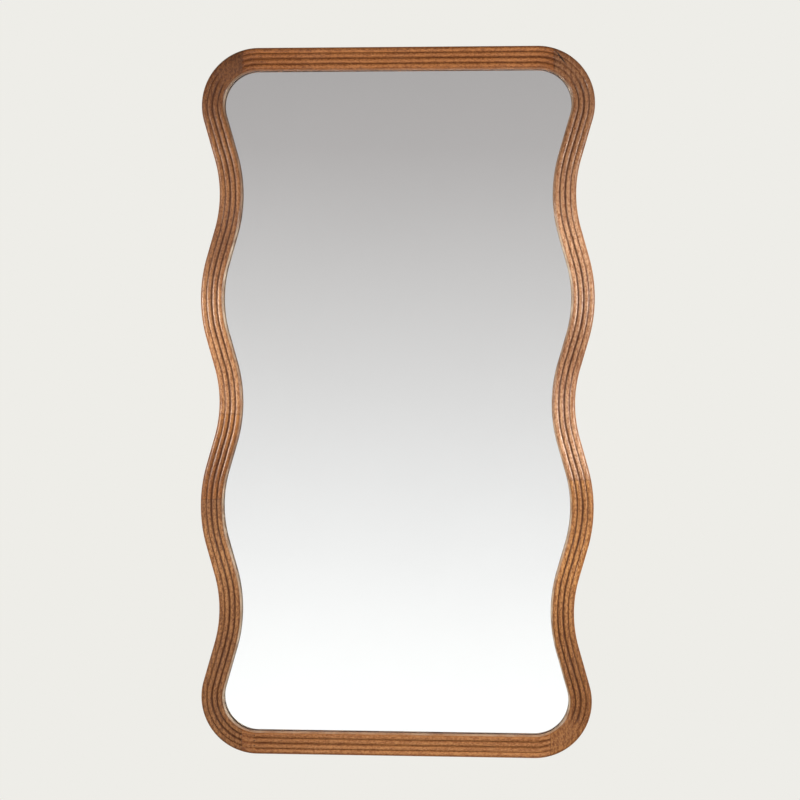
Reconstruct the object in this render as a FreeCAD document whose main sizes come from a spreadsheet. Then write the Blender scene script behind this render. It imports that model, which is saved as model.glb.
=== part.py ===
import FreeCAD, Part
import math
import os

import Sketcher
from FreeCAD import Placement, Rotation, Vector

# A tall wall mirror in a frame of solid wood. The front of the frame is cut into reeds, and its
# two long sides wave in and out. X runs to the right as seen from the front, Z runs up, and Y
# runs from the front to the wall. The wall is the plane y = 0, and the origin is the middle of
# the area that lies against it.

# Driving sizes in millimetres, and angles in degrees.
SIZES = {
    # Outline of the frame, seen from the front
    "overall_height": 1800.0,
    "overall_width": 1000.0,
    "wave_depth": 48.0,
    "wave_lean": 16.0,
    "corner_radius": 145.0,
    "corner_inset": 2.0,
    # Section of the frame
    "member_width": 58.0,
    "frame_depth": 30.0,
    "reed_height": 3.2,
    "outer_reed_drop": 2.8,
    "inner_reed_drop": 1.3,
    "bevel_width": 2.0,
    "bevel_depth": 3.5,
    "edge_ease": 1.5,
    "lip_width": 10.0,
    "ledge_width": 12.0,
    # Distances below the middle at which the lengths of side board meet
    "left_upper_joint": 30.0,
    "left_lower_joint": 249.0,
    "right_joint": 193.0,
    # Dowels in the joints of the frame
    "dowel_diameter": 8.0,
    "dowel_length": 40.0,
    "dowel_inset": 20.0,
    "dowel_wall": 4.5,
    "dowel_spacing": 16.0,
    "dowel_level": 14.0,
    "dowel_chamfer": 1.0,
    "dowel_clearance": 0.1,
    "dowel_end_clearance": 1.0,
    # Layers behind the lip of the frame
    "tape_thickness": 1.0,
    "tape_width": 6.0,
    "tape_setback": 1.5,
    "glass_thickness": 5.0,
    "glass_clearance": 2.0,
    "block_length": 60.0,
    "block_end": 300.0,
    "film_thickness": 0.3,
    "foam_thickness": 2.0,
    "board_thickness": 6.0,
    "board_recess": 0.5,
    "board_clearance": 0.5,
    # Countersunk screws of the backing board, and how far the outermost stand from the ends
    "side_screw_end": 130.0,
    "rail_screw_end": 170.0,
    "board_screw_diameter": 3.5,
    "board_screw_length": 16.0,
    "board_screw_head_diameter": 7.0,
    "board_screw_tip": 3.0,
    "board_hole_clearance": 0.25,
    # Hangers: a strap with two screws, curled round the bar of a D-shaped ring
    "hanger_inset": 18.0,
    "hanger_drop": 340.0,
    "hanger_end": 170.0,
    "strap_width": 16.0,
    "strap_thickness": 1.2,
    "strap_length": 42.0,
    "strap_end_radius": 7.0,
    "strap_first_hole": 22.0,
    "strap_hole_spacing": 14.0,
    "strap_hole_clearance": 0.3,
    "ring_wire_diameter": 3.4,
    "ring_clearance": 0.1,
    "ring_side_gap": 0.4,
    "ring_corner_radius": 3.4,
    "hanger_screw_diameter": 4.0,
    "hanger_screw_length": 16.0,
    "hanger_screw_head_diameter": 8.0,
    "hanger_screw_head_height": 2.4,
    "hanger_screw_head_rim": 0.6,
    "hanger_screw_tip": 3.5,
    "pilot_clearance": 0.05,
    # Bumpers that keep the frame off the wall
    "bumper_height": 6.5,
    "bumper_diameter": 16.0,
    "bumper_round": 1.5,
    "bumper_inset": 18.0,
}

REED_COUNT = 4
SCREWS_PER_SIDE = 8
SCREWS_PER_RAIL = 4
FULL_TURN = 360
RIGHT_ANGLE = math.pi / 2
# Slope of a countersunk head from its axis, in degrees.
COUNTERSINK_SLOPE = 45
# Two points nearer than this are the same point.
TOUCH = 1e-6
# Angle at which the curl of a hanger strap ends, counted from the side away from the wood.
CURL_END = math.radians(-120)

# Levels, each a sum of named sizes that starts at the wall and goes forward.
FRAME_BACK = ("bumper_height",)
BOARD_BACK = FRAME_BACK + ("board_recess",)
FOAM_BACK = BOARD_BACK + ("board_thickness",)
FILM_BACK = FOAM_BACK + ("foam_thickness",)
GLASS_BACK = FILM_BACK + ("film_thickness",)
TAPE_BACK = GLASS_BACK + ("glass_thickness",)
LIP_BACK = TAPE_BACK + ("tape_thickness",)
DOWEL_LEVEL = FRAME_BACK + ("dowel_level",)
BOARD_SCREW_DEPTH = BOARD_BACK + ("board_screw_length",)
HANGER_SCREW_DEPTH = FRAME_BACK + ("hanger_screw_length", "-strap_thickness")

# Insets, each a sum of named sizes that starts at the outer edge of the frame and goes inward.
CENTRE_LINE = ("member_width/2",)
LEDGE_EDGE = ("member_width", "-lip_width", "-ledge_width")
BOARD_EDGE = LEDGE_EDGE + ("board_clearance",)
LIP_REBATE = ("member_width", "-lip_width")
GLASS_EDGE = LIP_REBATE + ("glass_clearance",)
TAPE_INNER = ("member_width", "-tape_setback")
TAPE_OUTER = TAPE_INNER + ("-tape_width",)
DOWEL_INSETS = (("dowel_inset",), ("dowel_inset", "dowel_spacing"))
BOARD_SCREW_LINE = ("member_width", "-lip_width", "-ledge_width/2")

# Radii.
DOWEL_RADIUS = ("dowel_diameter/2",)
DOWEL_HOLE_RADIUS = DOWEL_RADIUS + ("dowel_clearance",)
DOWEL_HOLE_REACH = ("dowel_length/2", "dowel_end_clearance")
BOARD_SCREW_RADIUS = ("board_screw_diameter/2",)
BOARD_HOLE_RADIUS = BOARD_SCREW_RADIUS + ("board_hole_clearance",)
HANGER_SCREW_RADIUS = ("hanger_screw_diameter/2",)
STRAP_HOLE_RADIUS = HANGER_SCREW_RADIUS + ("strap_hole_clearance",)
WIRE_RADIUS = ("ring_wire_diameter/2",)
CURL_INNER = WIRE_RADIUS + ("ring_clearance",)
CURL_OUTER = CURL_INNER + ("strap_thickness",)

doc = FreeCAD.newDocument("wall_mirror")
sheet = doc.addObject("Spreadsheet::Sheet", "Sizes")
for row, (alias, number) in enumerate(SIZES.items(), start=1):
    sheet.set("A%d" % row, alias)
    sheet.set("B%d" % row, str(number))
    sheet.setAlias("B%d" % row, alias)
doc.recompute()

nodes = []


def size(alias):
    return float(sheet.get(alias))


def split_term(term):
    """Sign, name and divisor of one term of a sum, such as -member_width/2."""
    name, _, divisor = term.lstrip("-").partition("/")
    return (-1 if term.startswith("-") else 1), name, int(divisor or 1)


def total(terms):
    """Value of a sum of named sizes."""
    return sum(sign * size(name) / divisor for sign, name, divisor in map(split_term, terms))


def rule(terms):
    """The same sum, written for the sheet."""
    return "(" + " + ".join("%d * Sizes.%s / %d" % split_term(term) for term in terms) + ")"


# The wave. Every waist and bulge has one radius on the centre line of the member, and every
# straight between them leans by one angle.


def lean():
    return math.radians(size("wave_lean"))


def half_member():
    return size("member_width") / 2


def wave_radius():
    """Radius of the wave, which fills the height left between the two corners.

    Half the height is one corner, the run from it to the first waist, and two runs between a
    waist and a bulge. A run between two arcs is as high as their radii together times the
    tangent of half the lean, plus its step sideways over the tangent of the lean.
    """
    half_turn = math.tan(lean() / 2)
    corner = size("corner_radius")
    steps = 3 * size("wave_depth") - size("corner_inset")
    fixed = corner + (corner - half_member()) * half_turn + steps / math.tan(lean())
    return (size("overall_height") / 2 - fixed) / (5 * half_turn)


WAVE_RADIUS_RULE = (
    "(Sizes.overall_height / 2 - Sizes.corner_radius"
    " - (Sizes.corner_radius - Sizes.member_width / 2) * tan(Sizes.wave_lean / 2)"
    " - (3 * Sizes.wave_depth - Sizes.corner_inset) / tan(Sizes.wave_lean))"
    " / (5 * tan(Sizes.wave_lean / 2))"
)


def wave_spacing():
    """Height between a waist and the next bulge."""
    return 2 * wave_radius() * math.tan(lean() / 2) + size("wave_depth") / math.tan(lean())


CORNER_X_RULE = "(Sizes.overall_width / 2 - Sizes.corner_inset - Sizes.corner_radius)"
CORNER_Z_RULE = "(Sizes.overall_height / 2 - Sizes.corner_radius)"
BOARD_EDGE_X_RULE = "(Sizes.overall_width / 2 - Sizes.wave_depth - Sizes.member_width)"


def corner_centre():
    across = size("overall_width") / 2 - size("corner_inset") - size("corner_radius")
    return across, size("overall_height") / 2 - size("corner_radius")


def waist_edge_x():
    return size("overall_width") / 2 - size("wave_depth")


def board_edge_x():
    """Inner edge of the side boards, which are just wide enough to hold the wave."""
    return waist_edge_x() - size("member_width")


class Arc:
    """A stretch of circle in the plane of the wall, walked from one angle to another."""

    def __init__(self, x, z, radius, start, end, radius_rule):
        self.x = x
        self.z = z
        self.radius = radius
        self.start = start
        self.end = end
        self.radius_rule = radius_rule

    def at(self, angle):
        across = self.radius * math.cos(angle)
        return Vector(self.x + across, self.z + self.radius * math.sin(angle), 0)

    def between(self, start, end):
        return Arc(self.x, self.z, self.radius, start, end, self.radius_rule)

    def reversed(self):
        return self.between(self.end, self.start)

    def mirrored(self, side_x, side_z):
        """The like arc in the quarter of the frame that the two signs name."""
        start, end = self.start, self.end
        if side_x < 0:
            start, end = math.pi - start, math.pi - end
        if side_z < 0:
            start, end = -start, -end
        return Arc(side_x * self.x, side_z * self.z, self.radius, start, end, self.radius_rule)

    def curve(self):
        circle = Part.Circle(Vector(self.x, self.z, 0), Vector(0, 0, 1), self.radius)
        return Part.ArcOfCircle(circle, min(self.start, self.end), max(self.start, self.end))

    def ends(self):
        """Numbers by which a sketch knows the first and the last point walked."""
        return (1, 2) if self.start < self.end else (2, 1)


def corner_arc(inset, start, end):
    x, z = corner_centre()
    radius_rule = "Sizes.corner_radius - " + rule(inset)
    return Arc(x, z, size("corner_radius") - total(inset), start, end, radius_rule)


def waist_arc(inset, height):
    radius = wave_radius() - half_member() + total(inset)
    radius_rule = WAVE_RADIUS_RULE + " - Sizes.member_width / 2 + " + rule(inset)
    x = waist_edge_x() + wave_radius() - half_member()
    return Arc(x, height, radius, math.pi - lean(), math.pi + lean(), radius_rule)


def bulge_arc(inset, height):
    radius = wave_radius() + half_member() - total(inset)
    radius_rule = WAVE_RADIUS_RULE + " + Sizes.member_width / 2 - " + rule(inset)
    x = size("overall_width") / 2 - wave_radius() - half_member()
    return Arc(x, height, radius, lean(), -lean(), radius_rule)


def side_arcs(inset):
    """Arcs of the right side from the top corner to the bottom one, parallel to the outer edge."""
    arcs = [corner_arc(inset, RIGHT_ANGLE, -lean())]
    for step in (2, 1, 0, -1, -2):
        make_arc = bulge_arc if step % 2 else waist_arc
        arcs.append(make_arc(inset, step * wave_spacing()))
    return arcs + [corner_arc(inset, RIGHT_ANGLE, -lean()).mirrored(1, -1).reversed()]


def outline_arcs(inset):
    """Arcs of the whole outline, clockwise from the top right corner."""
    right = side_arcs(inset)
    return right + [arc.mirrored(-1, 1).reversed() for arc in reversed(right)]


def side_x(inset, height):
    """How far from the middle a line parallel to a side's outer edge lies, at one height."""
    arcs = side_arcs(inset)
    for arc, following in zip(arcs, arcs[1:] + arcs[-1:]):
        top, bottom, landing = arc.at(arc.start), arc.at(arc.end), following.at(following.start)
        if top.y >= height >= bottom.y:
            across = math.sqrt(arc.radius**2 - (height - arc.z) ** 2)
            return arc.x + math.copysign(across, top.x - arc.x)
        if bottom.y > height > landing.y:
            share = (bottom.y - height) / (bottom.y - landing.y)
            return bottom.x + share * (landing.x - bottom.x)
    raise ValueError("a side has no point at the height %s" % height)


# Drawing and shaping.


def add_body(name):
    body = doc.addObject("PartDesign::Body", name)
    body.Label = name
    return body


def keep(node):
    nodes.append(node)
    return node


def add_sketch(body, name, role, offset_rule="0"):
    """A sketch on one of the body's own planes, moved along its normal."""
    sketch = body.newObject("Sketcher::SketchObject", body.Name + "_" + name)
    plane = next(item for item in body.Origin.OriginFeatures if item.Role == role)
    sketch.AttachmentSupport = (plane, [""])
    sketch.MapMode = "FlatFace"
    sketch.setExpression("AttachmentOffset.Base.z", offset_rule)
    return sketch


def bind(sketch, kind, number, value, value_rule):
    constraint = sketch.addConstraint(Sketcher.Constraint(kind, number, value))
    sketch.setExpression("Constraints[%d]" % constraint, value_rule)


def draw_arcs(sketch, arcs, closed):
    """Arcs and the straights that join them, tangent all along, with the radii bound."""
    pieces = []
    for place, arc in enumerate(arcs):
        pieces.append((sketch.addGeometry(arc.curve()), arc.ends()))
        bind(sketch, "Radius", pieces[-1][0], arc.radius, arc.radius_rule)
        if closed or place + 1 < len(arcs):
            following = arcs[(place + 1) % len(arcs)]
            straight = Part.LineSegment(arc.at(arc.end), following.at(following.start))
            pieces.append((sketch.addGeometry(straight), (1, 2)))
    followers = pieces[1:] + (pieces[:1] if closed else [])
    for (piece, ends), (following, following_ends) in zip(pieces, followers):
        joint = Sketcher.Constraint("Tangent", piece, ends[1], following, following_ends[0])
        sketch.addConstraint(joint)


def draw_loop(sketch, curves, rules=()):
    """Curves joined end to end in a closed loop, some lines with their length bound to a rule."""
    numbers = [sketch.addGeometry(curve) for curve in curves]
    pairs = [(first, second) for first in (1, 2) for second in (1, 2)]
    for number, following in zip(numbers, numbers[1:] + numbers[:1]):
        gaps = [
            sketch.getPoint(number, first).distanceToPoint(sketch.getPoint(following, second))
            for first, second in pairs
        ]
        first, second = pairs[gaps.index(min(gaps))]
        sketch.addConstraint(Sketcher.Constraint("Coincident", number, first, following, second))
    for position, length_rule in rules:
        bind(sketch, "Distance", numbers[position], curves[position].length(), length_rule)


def lines_through(points):
    return [Part.LineSegment(a, b) for a, b in zip(points, points[1:])]


def draw_rectangle(sketch, low, high):
    corners = [Vector(*low, 0), Vector(high[0], low[1], 0), Vector(*high, 0), Vector(low[0], high[1], 0)]
    draw_loop(sketch, lines_through(corners + corners[:1]))


def draw_circles(sketch, places, radius_terms):
    radius = total(radius_terms)
    for place in places:
        circle = Part.Circle(Vector(*place, 0), Vector(0, 0, 1), radius)
        bind(sketch, "Radius", sketch.addGeometry(circle), radius, rule(radius_terms))


def pad(body, sketch, length_rule, midplane=False):
    feature = body.newObject("PartDesign::Pad", sketch.Name + "_pad")
    feature.Profile = sketch
    feature.Midplane = midplane
    feature.setExpression("Length", length_rule)
    doc.recompute()


def cut(body, sketch, length_rule=None):
    """Removes material on both sides of a sketch, to a total length or all the way through."""
    doc.recompute()
    before = body.Shape.Volume
    feature = body.newObject("PartDesign::Pocket", sketch.Name + "_cut")
    feature.Profile = sketch
    feature.Midplane = True
    if length_rule:
        feature.setExpression("Length", length_rule)
    else:
        feature.Type = "ThroughAll"
    doc.recompute()
    if not body.Shape.Volume < before:
        raise ValueError(feature.Name + " removes nothing")


def sweep(body, profile, path):
    doc.recompute()
    feature = body.newObject("PartDesign::AdditivePipe", body.Name + "_sweep")
    feature.Profile = profile
    feature.Spine = (path, [])
    doc.recompute()


def turn(body, curves):
    """Turns a closed profile in the XY plane about the Y axis."""
    sketch = add_sketch(body, "profile", "XY_Plane")
    draw_loop(sketch, curves)
    doc.recompute()
    feature = body.newObject("PartDesign::Revolution", body.Name + "_turn")
    feature.Profile = sketch
    feature.ReferenceAxis = (sketch, ["V_Axis"])
    feature.Angle = FULL_TURN
    doc.recompute()


def dress(body, kind, edges, property_name, size_rule):
    """Fillets or chamfers the edges of a body for which the test holds."""
    chosen = ["Edge%d" % number for number, edge in enumerate(body.Shape.Edges, 1) if edges(edge)]
    base = body.Tip
    feature = body.newObject("PartDesign::" + kind, "%s_%s" % (body.Name, kind.lower()))
    feature.Base = (base, chosen)
    feature.setExpression(property_name, size_rule)
    doc.recompute()


def make_group(name, master, placements):
    """One node that holds several like solids."""
    links = []
    for number, placement in enumerate(placements):
        link = doc.addObject("App::Link", "%s_%d" % (name, number))
        link.LinkedObject = master
        link.Placement = placement
        links.append(link)
    group = doc.addObject("Part::Compound", name)
    group.Label = name
    group.Links = links
    keep(group)


# The reeded frame member.


def section_points():
    """Corners of the stepped back of the section, and the feet of its reeds from the inner one
    out. Each point is an inset from the outer edge and a height over the back."""
    back = total(FRAME_BACK)
    width = size("member_width")
    ledge_height = total(FOAM_BACK) - back
    lip_height = total(LIP_BACK) - back
    valley = size("frame_depth") - size("reed_height")
    inner_foot = valley - size("inner_reed_drop")
    corners = [
        (size("edge_ease"), 0),
        (total(LEDGE_EDGE), 0),
        (total(LEDGE_EDGE), ledge_height),
        (total(LIP_REBATE), ledge_height),
        (total(LIP_REBATE), lip_height),
        (width, lip_height),
        (width, inner_foot - size("bevel_depth")),
    ]
    reeds_width = width - size("bevel_width")
    feet = [(reeds_width * step / REED_COUNT, valley) for step in range(REED_COUNT, -1, -1)]
    feet[0] = (reeds_width, inner_foot)
    feet[-1] = (0, valley - size("outer_reed_drop"))
    return corners, feet


def draw_section(sketch, place):
    """The whole section. place turns an inset and a height into a point of the sketch."""
    corners, feet = section_points()
    points = [place(*point) for point in corners + feet[:1]]
    curves = lines_through(points)
    for foot, following in zip(feet, feet[1:]):
        run = Vector(following[0] - foot[0], following[1] - foot[1], 0).normalize()
        middle = ((foot[0] + following[0]) / 2, (foot[1] + following[1]) / 2)
        rise = size("reed_height")
        crest = place(middle[0] + run.y * rise, middle[1] - run.x * rise)
        curves.append(Part.Arc(place(*foot), crest, place(*following)))
    curves += lines_through([place(*feet[-1]), place(0, size("edge_ease")), points[0]])
    rules = [
        (1, rule(FOAM_BACK) + " - " + rule(FRAME_BACK)),
        (2, "Sizes.ledge_width"),
        (3, rule(LIP_BACK) + " - " + rule(FOAM_BACK)),
        (4, "Sizes.lip_width"),
    ]
    draw_loop(sketch, curves, rules)


def place_on_rail(side_z):
    """Section points on a plane square to a rail, whose axes are Y and Z."""
    back = total(FRAME_BACK)
    edge = size("overall_height") / 2
    return lambda inset, height: Vector(-back - height, side_z * (edge - inset), 0)


def place_on_upright(side, outer_edge):
    """Section points on a level plane, whose axes are X and Y."""
    back = total(FRAME_BACK)
    return lambda inset, height: Vector(side * (outer_edge - inset), -back - height, 0)


def add_member(name, arcs, start_role, start_rule, place):
    """Sweeps the section along arcs that start square to one of the main planes."""
    body = add_body(name)
    path = add_sketch(body, "path", "XZ_Plane", rule(FRAME_BACK))
    draw_arcs(path, arcs, closed=False)
    section = add_sketch(body, "section", start_role, start_rule)
    draw_section(section, place)
    sweep(body, section, path)
    return keep(body)


def trim(body, name, *rectangles):
    """Removes all of the body that lies in some rectangles, seen from the front."""
    sketch = add_sketch(body, name, "XZ_Plane")
    for low, high in rectangles:
        draw_rectangle(sketch, low, high)
    cut(body, sketch)


def bore_joint(body, name, role, joint_rule, places):
    """Holes for a pair of dowels, square to the plane of a joint."""
    sketch = add_sketch(body, name, role, joint_rule)
    draw_circles(sketch, places, DOWEL_HOLE_RADIUS)
    cut(body, sketch, "2 * " + rule(DOWEL_HOLE_REACH))


def rail_joint_places(side_z):
    """Where the dowels of a joint between a rail and a side cross its plane, as Y and Z.

    The far end of the outer hole keeps a wall to the round outer edge of the corner.
    """
    x, z = corner_centre()
    reach = size("corner_radius") - size("dowel_wall") - total(DOWEL_HOLE_RADIUS)
    across = board_edge_x() + total(DOWEL_HOLE_REACH) - x
    outer = z + math.sqrt(reach**2 - across**2)
    return [(-total(DOWEL_LEVEL), side_z * height) for height in (outer, outer - size("dowel_spacing"))]


def side_joint_places(side, joint):
    """Where the dowels of a joint within a side cross its plane, as X and Y."""
    return [(side * side_x(inset, -size(joint)), -total(DOWEL_LEVEL)) for inset in DOWEL_INSETS]


def bore_rail_joint(body, side, side_z):
    name = "right_joint" if side > 0 else "left_joint"
    joint_rule = "%d * %s" % (side, BOARD_EDGE_X_RULE)
    bore_joint(body, name, "YZ_Plane", joint_rule, rail_joint_places(side_z))


def bore_side_joint(body, side, joint):
    bore_joint(body, joint, "XY_Plane", "-Sizes." + joint, side_joint_places(side, joint))


def bore_pilots(body, name, places, screw_radius, depth_terms):
    """Holes for those of the screws that enter this piece, bored from behind."""
    tip = -total(depth_terms)
    entered = [(x, z) for x, z in places if body.Shape.isInside(Vector(x, tip, z), TOUCH, False)]
    if entered:
        sketch = add_sketch(body, name, "XZ_Plane")
        draw_circles(sketch, entered, screw_radius + ("pilot_clearance",))
        cut(body, sketch, "2 * " + rule(depth_terms))


def bore_all_pilots(body):
    board_places = board_screw_places()
    hanger_places = hanger_screw_places()
    bore_pilots(body, "board_pilots", board_places, BOARD_SCREW_RADIUS, BOARD_SCREW_DEPTH)
    bore_pilots(body, "hanger_pilots", hanger_places, HANGER_SCREW_RADIUS, HANGER_SCREW_DEPTH)


def add_rail(name, side_z):
    """A rail. It runs a little way into both corners, up to the inner edges of the side boards."""
    right = corner_arc(CENTRE_LINE, RIGHT_ANGLE, 0)
    left = right.mirrored(-1, 1).reversed()
    arcs = [arc.mirrored(1, side_z) for arc in (left, right)]
    corner_edge = size("overall_width") / 2 - size("corner_inset")
    start_rule = "%d * %s" % (side_z, CORNER_Z_RULE)
    body = add_member(name, arcs, "XY_Plane", start_rule, place_on_upright(-1, corner_edge))
    width, height, edge = size("overall_width"), side_z * size("overall_height"), board_edge_x()
    trim(body, "ends", ((-width, 0), (-edge, height)), ((edge, 0), (width, height)))
    bore_rail_joint(body, -1, side_z)
    bore_rail_joint(body, 1, side_z)
    bore_all_pilots(body)


def add_side_end(name, side, side_z, joint):
    """The length of a side board that holds a corner of the frame, down or up to a joint."""
    run = []
    for arc in side_arcs(CENTRE_LINE):
        run.append(arc.mirrored(side, side_z))
        if arc.at(arc.end).y <= -side_z * size(joint):
            break
    start_rule = "%d * %s" % (side, CORNER_X_RULE)
    body = add_member(name, run, "YZ_Plane", start_rule, place_on_rail(side_z))
    width, height, edge = side * size("overall_width"), side_z * size("overall_height"), board_edge_x()
    corner_height = side_z * corner_centre()[1]
    trim(body, "rail_end", ((0, corner_height), (side * edge, height)))
    trim(body, "joint_end", ((0, -size(joint)), (width, -height)))
    bore_rail_joint(body, side, side_z)
    bore_side_joint(body, side, joint)
    bore_all_pilots(body)


def add_side_middle(name, side, upper_joint, lower_joint):
    """A short length of side board between two joints. Its sweep starts at the middle waist."""
    waist = waist_arc(CENTRE_LINE, 0)
    run = [waist.between(math.pi, waist.end)]
    step = 1
    while run[-1].at(run[-1].end).y > -size(lower_joint):
        make_arc = bulge_arc if step % 2 else waist_arc
        run.append(make_arc(CENTRE_LINE, -step * wave_spacing()))
        step += 1
    arcs = [arc.mirrored(side, 1) for arc in run]
    body = add_member(name, arcs, "XY_Plane", "0", place_on_upright(side, waist_edge_x()))
    width, height = side * size("overall_width"), size("overall_height")
    above = ((0, -size(upper_joint)), (width, height))
    below = ((0, -size(lower_joint)), (width, -height))
    trim(body, "ends", above, below)
    bore_side_joint(body, side, upper_joint)
    bore_side_joint(body, side, lower_joint)
    bore_all_pilots(body)


def add_dowel():
    """One dowel along Z, with its middle at the origin."""
    body = add_body("dowel")
    sketch = add_sketch(body, "outline", "XY_Plane")
    draw_circles(sketch, [(0, 0)], DOWEL_RADIUS)
    doc.recompute()
    pad(body, sketch, "Sizes.dowel_length", midplane=True)
    dress(body, "Chamfer", lambda edge: edge.isClosed(), "Size", "Sizes.dowel_chamfer")
    return body


def add_rail_dowels(name, dowel, side, side_z):
    lying = Rotation(Vector(0, 1, 0), math.degrees(RIGHT_ANGLE))
    x = side * board_edge_x()
    make_group(name, dowel, [Placement(Vector(x, y, z), lying) for y, z in rail_joint_places(side_z)])


def add_side_dowels(name, dowel, side, joint):
    places = side_joint_places(side, joint)
    make_group(name, dowel, [Placement(Vector(x, y, -size(joint)), Rotation()) for x, y in places])


# The mirror and the layers behind it.


def add_layer(name, back, thickness, *insets):
    """A flat layer whose outlines run parallel to the outer edge of the frame."""
    body = add_body(name)
    sketch = add_sketch(body, "outline", "XZ_Plane", rule(back))
    for inset in insets:
        draw_arcs(sketch, outline_arcs(inset), closed=True)
    doc.recompute()
    pad(body, sketch, "Sizes." + thickness)
    return keep(body)


def add_setting_blocks():
    """Blocks that fill the gap under the lower edge of the glass."""
    block = doc.addObject("Part::Box", "setting_block")
    block.setExpression("Length", "Sizes.block_length")
    block.setExpression("Width", "Sizes.glass_thickness")
    block.setExpression("Height", "Sizes.glass_clearance")
    doc.recompute()
    y = -total(TAPE_BACK)
    z = total(LIP_REBATE) - size("overall_height") / 2
    reach = size("overall_width") / 2 - size("block_end")
    starts = [side * reach - size("block_length") / 2 for side in (-1, 1)]
    make_group("setting_blocks", block, [Placement(Vector(x, y, z), Rotation()) for x in starts])


def spread(count, length, end):
    """Evenly spaced places about the middle of a length, the outermost a way from its ends."""
    reach = size(length) / 2 - size(end)
    return [reach * (2 * number / (count - 1) - 1) for number in range(count)]


def board_screw_places():
    """Where the screws of the backing board stand on the ledge, as X and Z."""
    edge = size("overall_height") / 2 - total(BOARD_SCREW_LINE)
    heights = spread(SCREWS_PER_SIDE, "overall_height", "side_screw_end")
    on_sides = [(side_x(BOARD_SCREW_LINE, height), height) for height in heights]
    on_rails = [(x, edge) for x in spread(SCREWS_PER_RAIL, "overall_width", "rail_screw_end")]
    return on_sides + [(-x, z) for x, z in on_sides] + on_rails + [(x, -z) for x, z in on_rails]


def add_backing_board():
    """The board, with a countersunk hole for each of its screws."""
    body = add_layer("backing_board", BOARD_BACK, "board_thickness", BOARD_EDGE)
    solid = body.Shape.Volume
    sketch = add_sketch(body, "holes", "XZ_Plane", rule(BOARD_BACK))
    draw_circles(sketch, board_screw_places(), BOARD_HOLE_RADIUS)
    doc.recompute()
    hole = body.newObject("PartDesign::Hole", "countersunk_holes")
    hole.Profile = sketch
    doc.recompute()
    hole.Reversed = True
    hole.DepthType = "ThroughAll"
    hole.HoleCutType = "Countersink"
    hole.HoleCutCustomValues = True
    hole.HoleCutCountersinkAngle = 2 * COUNTERSINK_SLOPE
    hole.setExpression("Diameter", "2 * " + rule(BOARD_HOLE_RADIUS))
    hole.setExpression("HoleCutDiameter", rule(("board_screw_head_diameter", "board_hole_clearance")))
    doc.recompute()
    if not body.Shape.Volume < solid:
        raise ValueError("the holes of the backing board remove nothing")


def add_board_screws():
    """Countersunk screws, flush with the back of the board."""
    head = size("board_screw_head_diameter") / 2
    shank = total(BOARD_SCREW_RADIUS)
    length = size("board_screw_length")
    head_depth = (head - shank) / math.tan(math.radians(COUNTERSINK_SLOPE))
    screw = add_body("board_screw")
    points = [
        (0, 0),
        (head, 0),
        (shank, -head_depth),
        (shank, size("board_screw_tip") - length),
        (0, -length),
    ]
    corners = [Vector(*point, 0) for point in points]
    turn(screw, lines_through(corners + corners[:1]))
    level = -total(BOARD_BACK)
    places = [Placement(Vector(x, level, z), Rotation()) for x, z in board_screw_places()]
    make_group("backing_screws", screw, places)


# The hangers. A strap lies on the back of the frame, and its upper end is curled round the bar
# of the ring. The bar runs along X, at the origin, and the ring stands up along Z.


def hanger_placements():
    """Places of the four hangers: two to hang the mirror upright, two to hang it sideways."""
    half_height = size("overall_height") / 2
    height = half_height - size("hanger_drop")
    rail = half_height - size("hanger_inset")
    across = side_x(("hanger_inset",), height)
    along = size("hanger_end") - size("overall_width") / 2
    sideways = Rotation(Vector(0, 1, 0), -math.degrees(RIGHT_ANGLE))
    level = -total(FRAME_BACK)
    return {
        "left": Placement(Vector(-across, level, height), Rotation()),
        "right": Placement(Vector(across, level, height), Rotation()),
        "top": Placement(Vector(along, level, rail), sideways),
        "bottom": Placement(Vector(along, level, -rail), sideways),
    }


def strap_hole_drops():
    first = size("strap_first_hole")
    return [first, first + size("strap_hole_spacing")]


def hanger_screw_placements():
    lifted = [Vector(0, size("strap_thickness"), -drop) for drop in strap_hole_drops()]
    return [
        Placement(placement.multVec(point), placement.Rotation)
        for placement in hanger_placements().values()
        for point in lifted
    ]


def hanger_screw_places():
    return [(placement.Base.x, placement.Base.z) for placement in hanger_screw_placements()]


def add_strap(name, placement):
    body = add_body(name)
    centre = Vector(total(CURL_OUTER), 0, 0)
    curls = [
        Part.ArcOfCircle(Part.Circle(centre, Vector(0, 0, 1), total(radius)), CURL_END, math.pi)
        for radius in (CURL_OUTER, CURL_INNER)
    ]
    length = size("strap_length")
    plate = [Vector(0, 0, 0), Vector(0, -length, 0), Vector(size("strap_thickness"), -length, 0)]
    plate.append(Vector(size("strap_thickness"), 0, 0))
    curl_end = Part.LineSegment(curls[1].value(CURL_END), curls[0].value(CURL_END))
    side = add_sketch(body, "side", "YZ_Plane")
    draw_loop(side, lines_through(plate) + [curls[1], curl_end, curls[0]])
    doc.recompute()
    pad(body, side, "Sizes.strap_width", midplane=True)
    holes = add_sketch(body, "holes", "XZ_Plane")
    draw_circles(holes, [(0, -drop) for drop in strap_hole_drops()], STRAP_HOLE_RADIUS)
    cut(body, holes, "3 * Sizes.strap_thickness")

    def is_corner(edge):
        ends = [vertex.Point for vertex in edge.Vertexes]
        level = all(abs(end.z + length) < TOUCH for end in ends)
        return level and abs(ends[0].x - ends[-1].x) < TOUCH

    dress(body, "Fillet", is_corner, "Radius", "Sizes.strap_end_radius")
    body.Placement = placement
    doc.recompute()
    keep(body)


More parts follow.
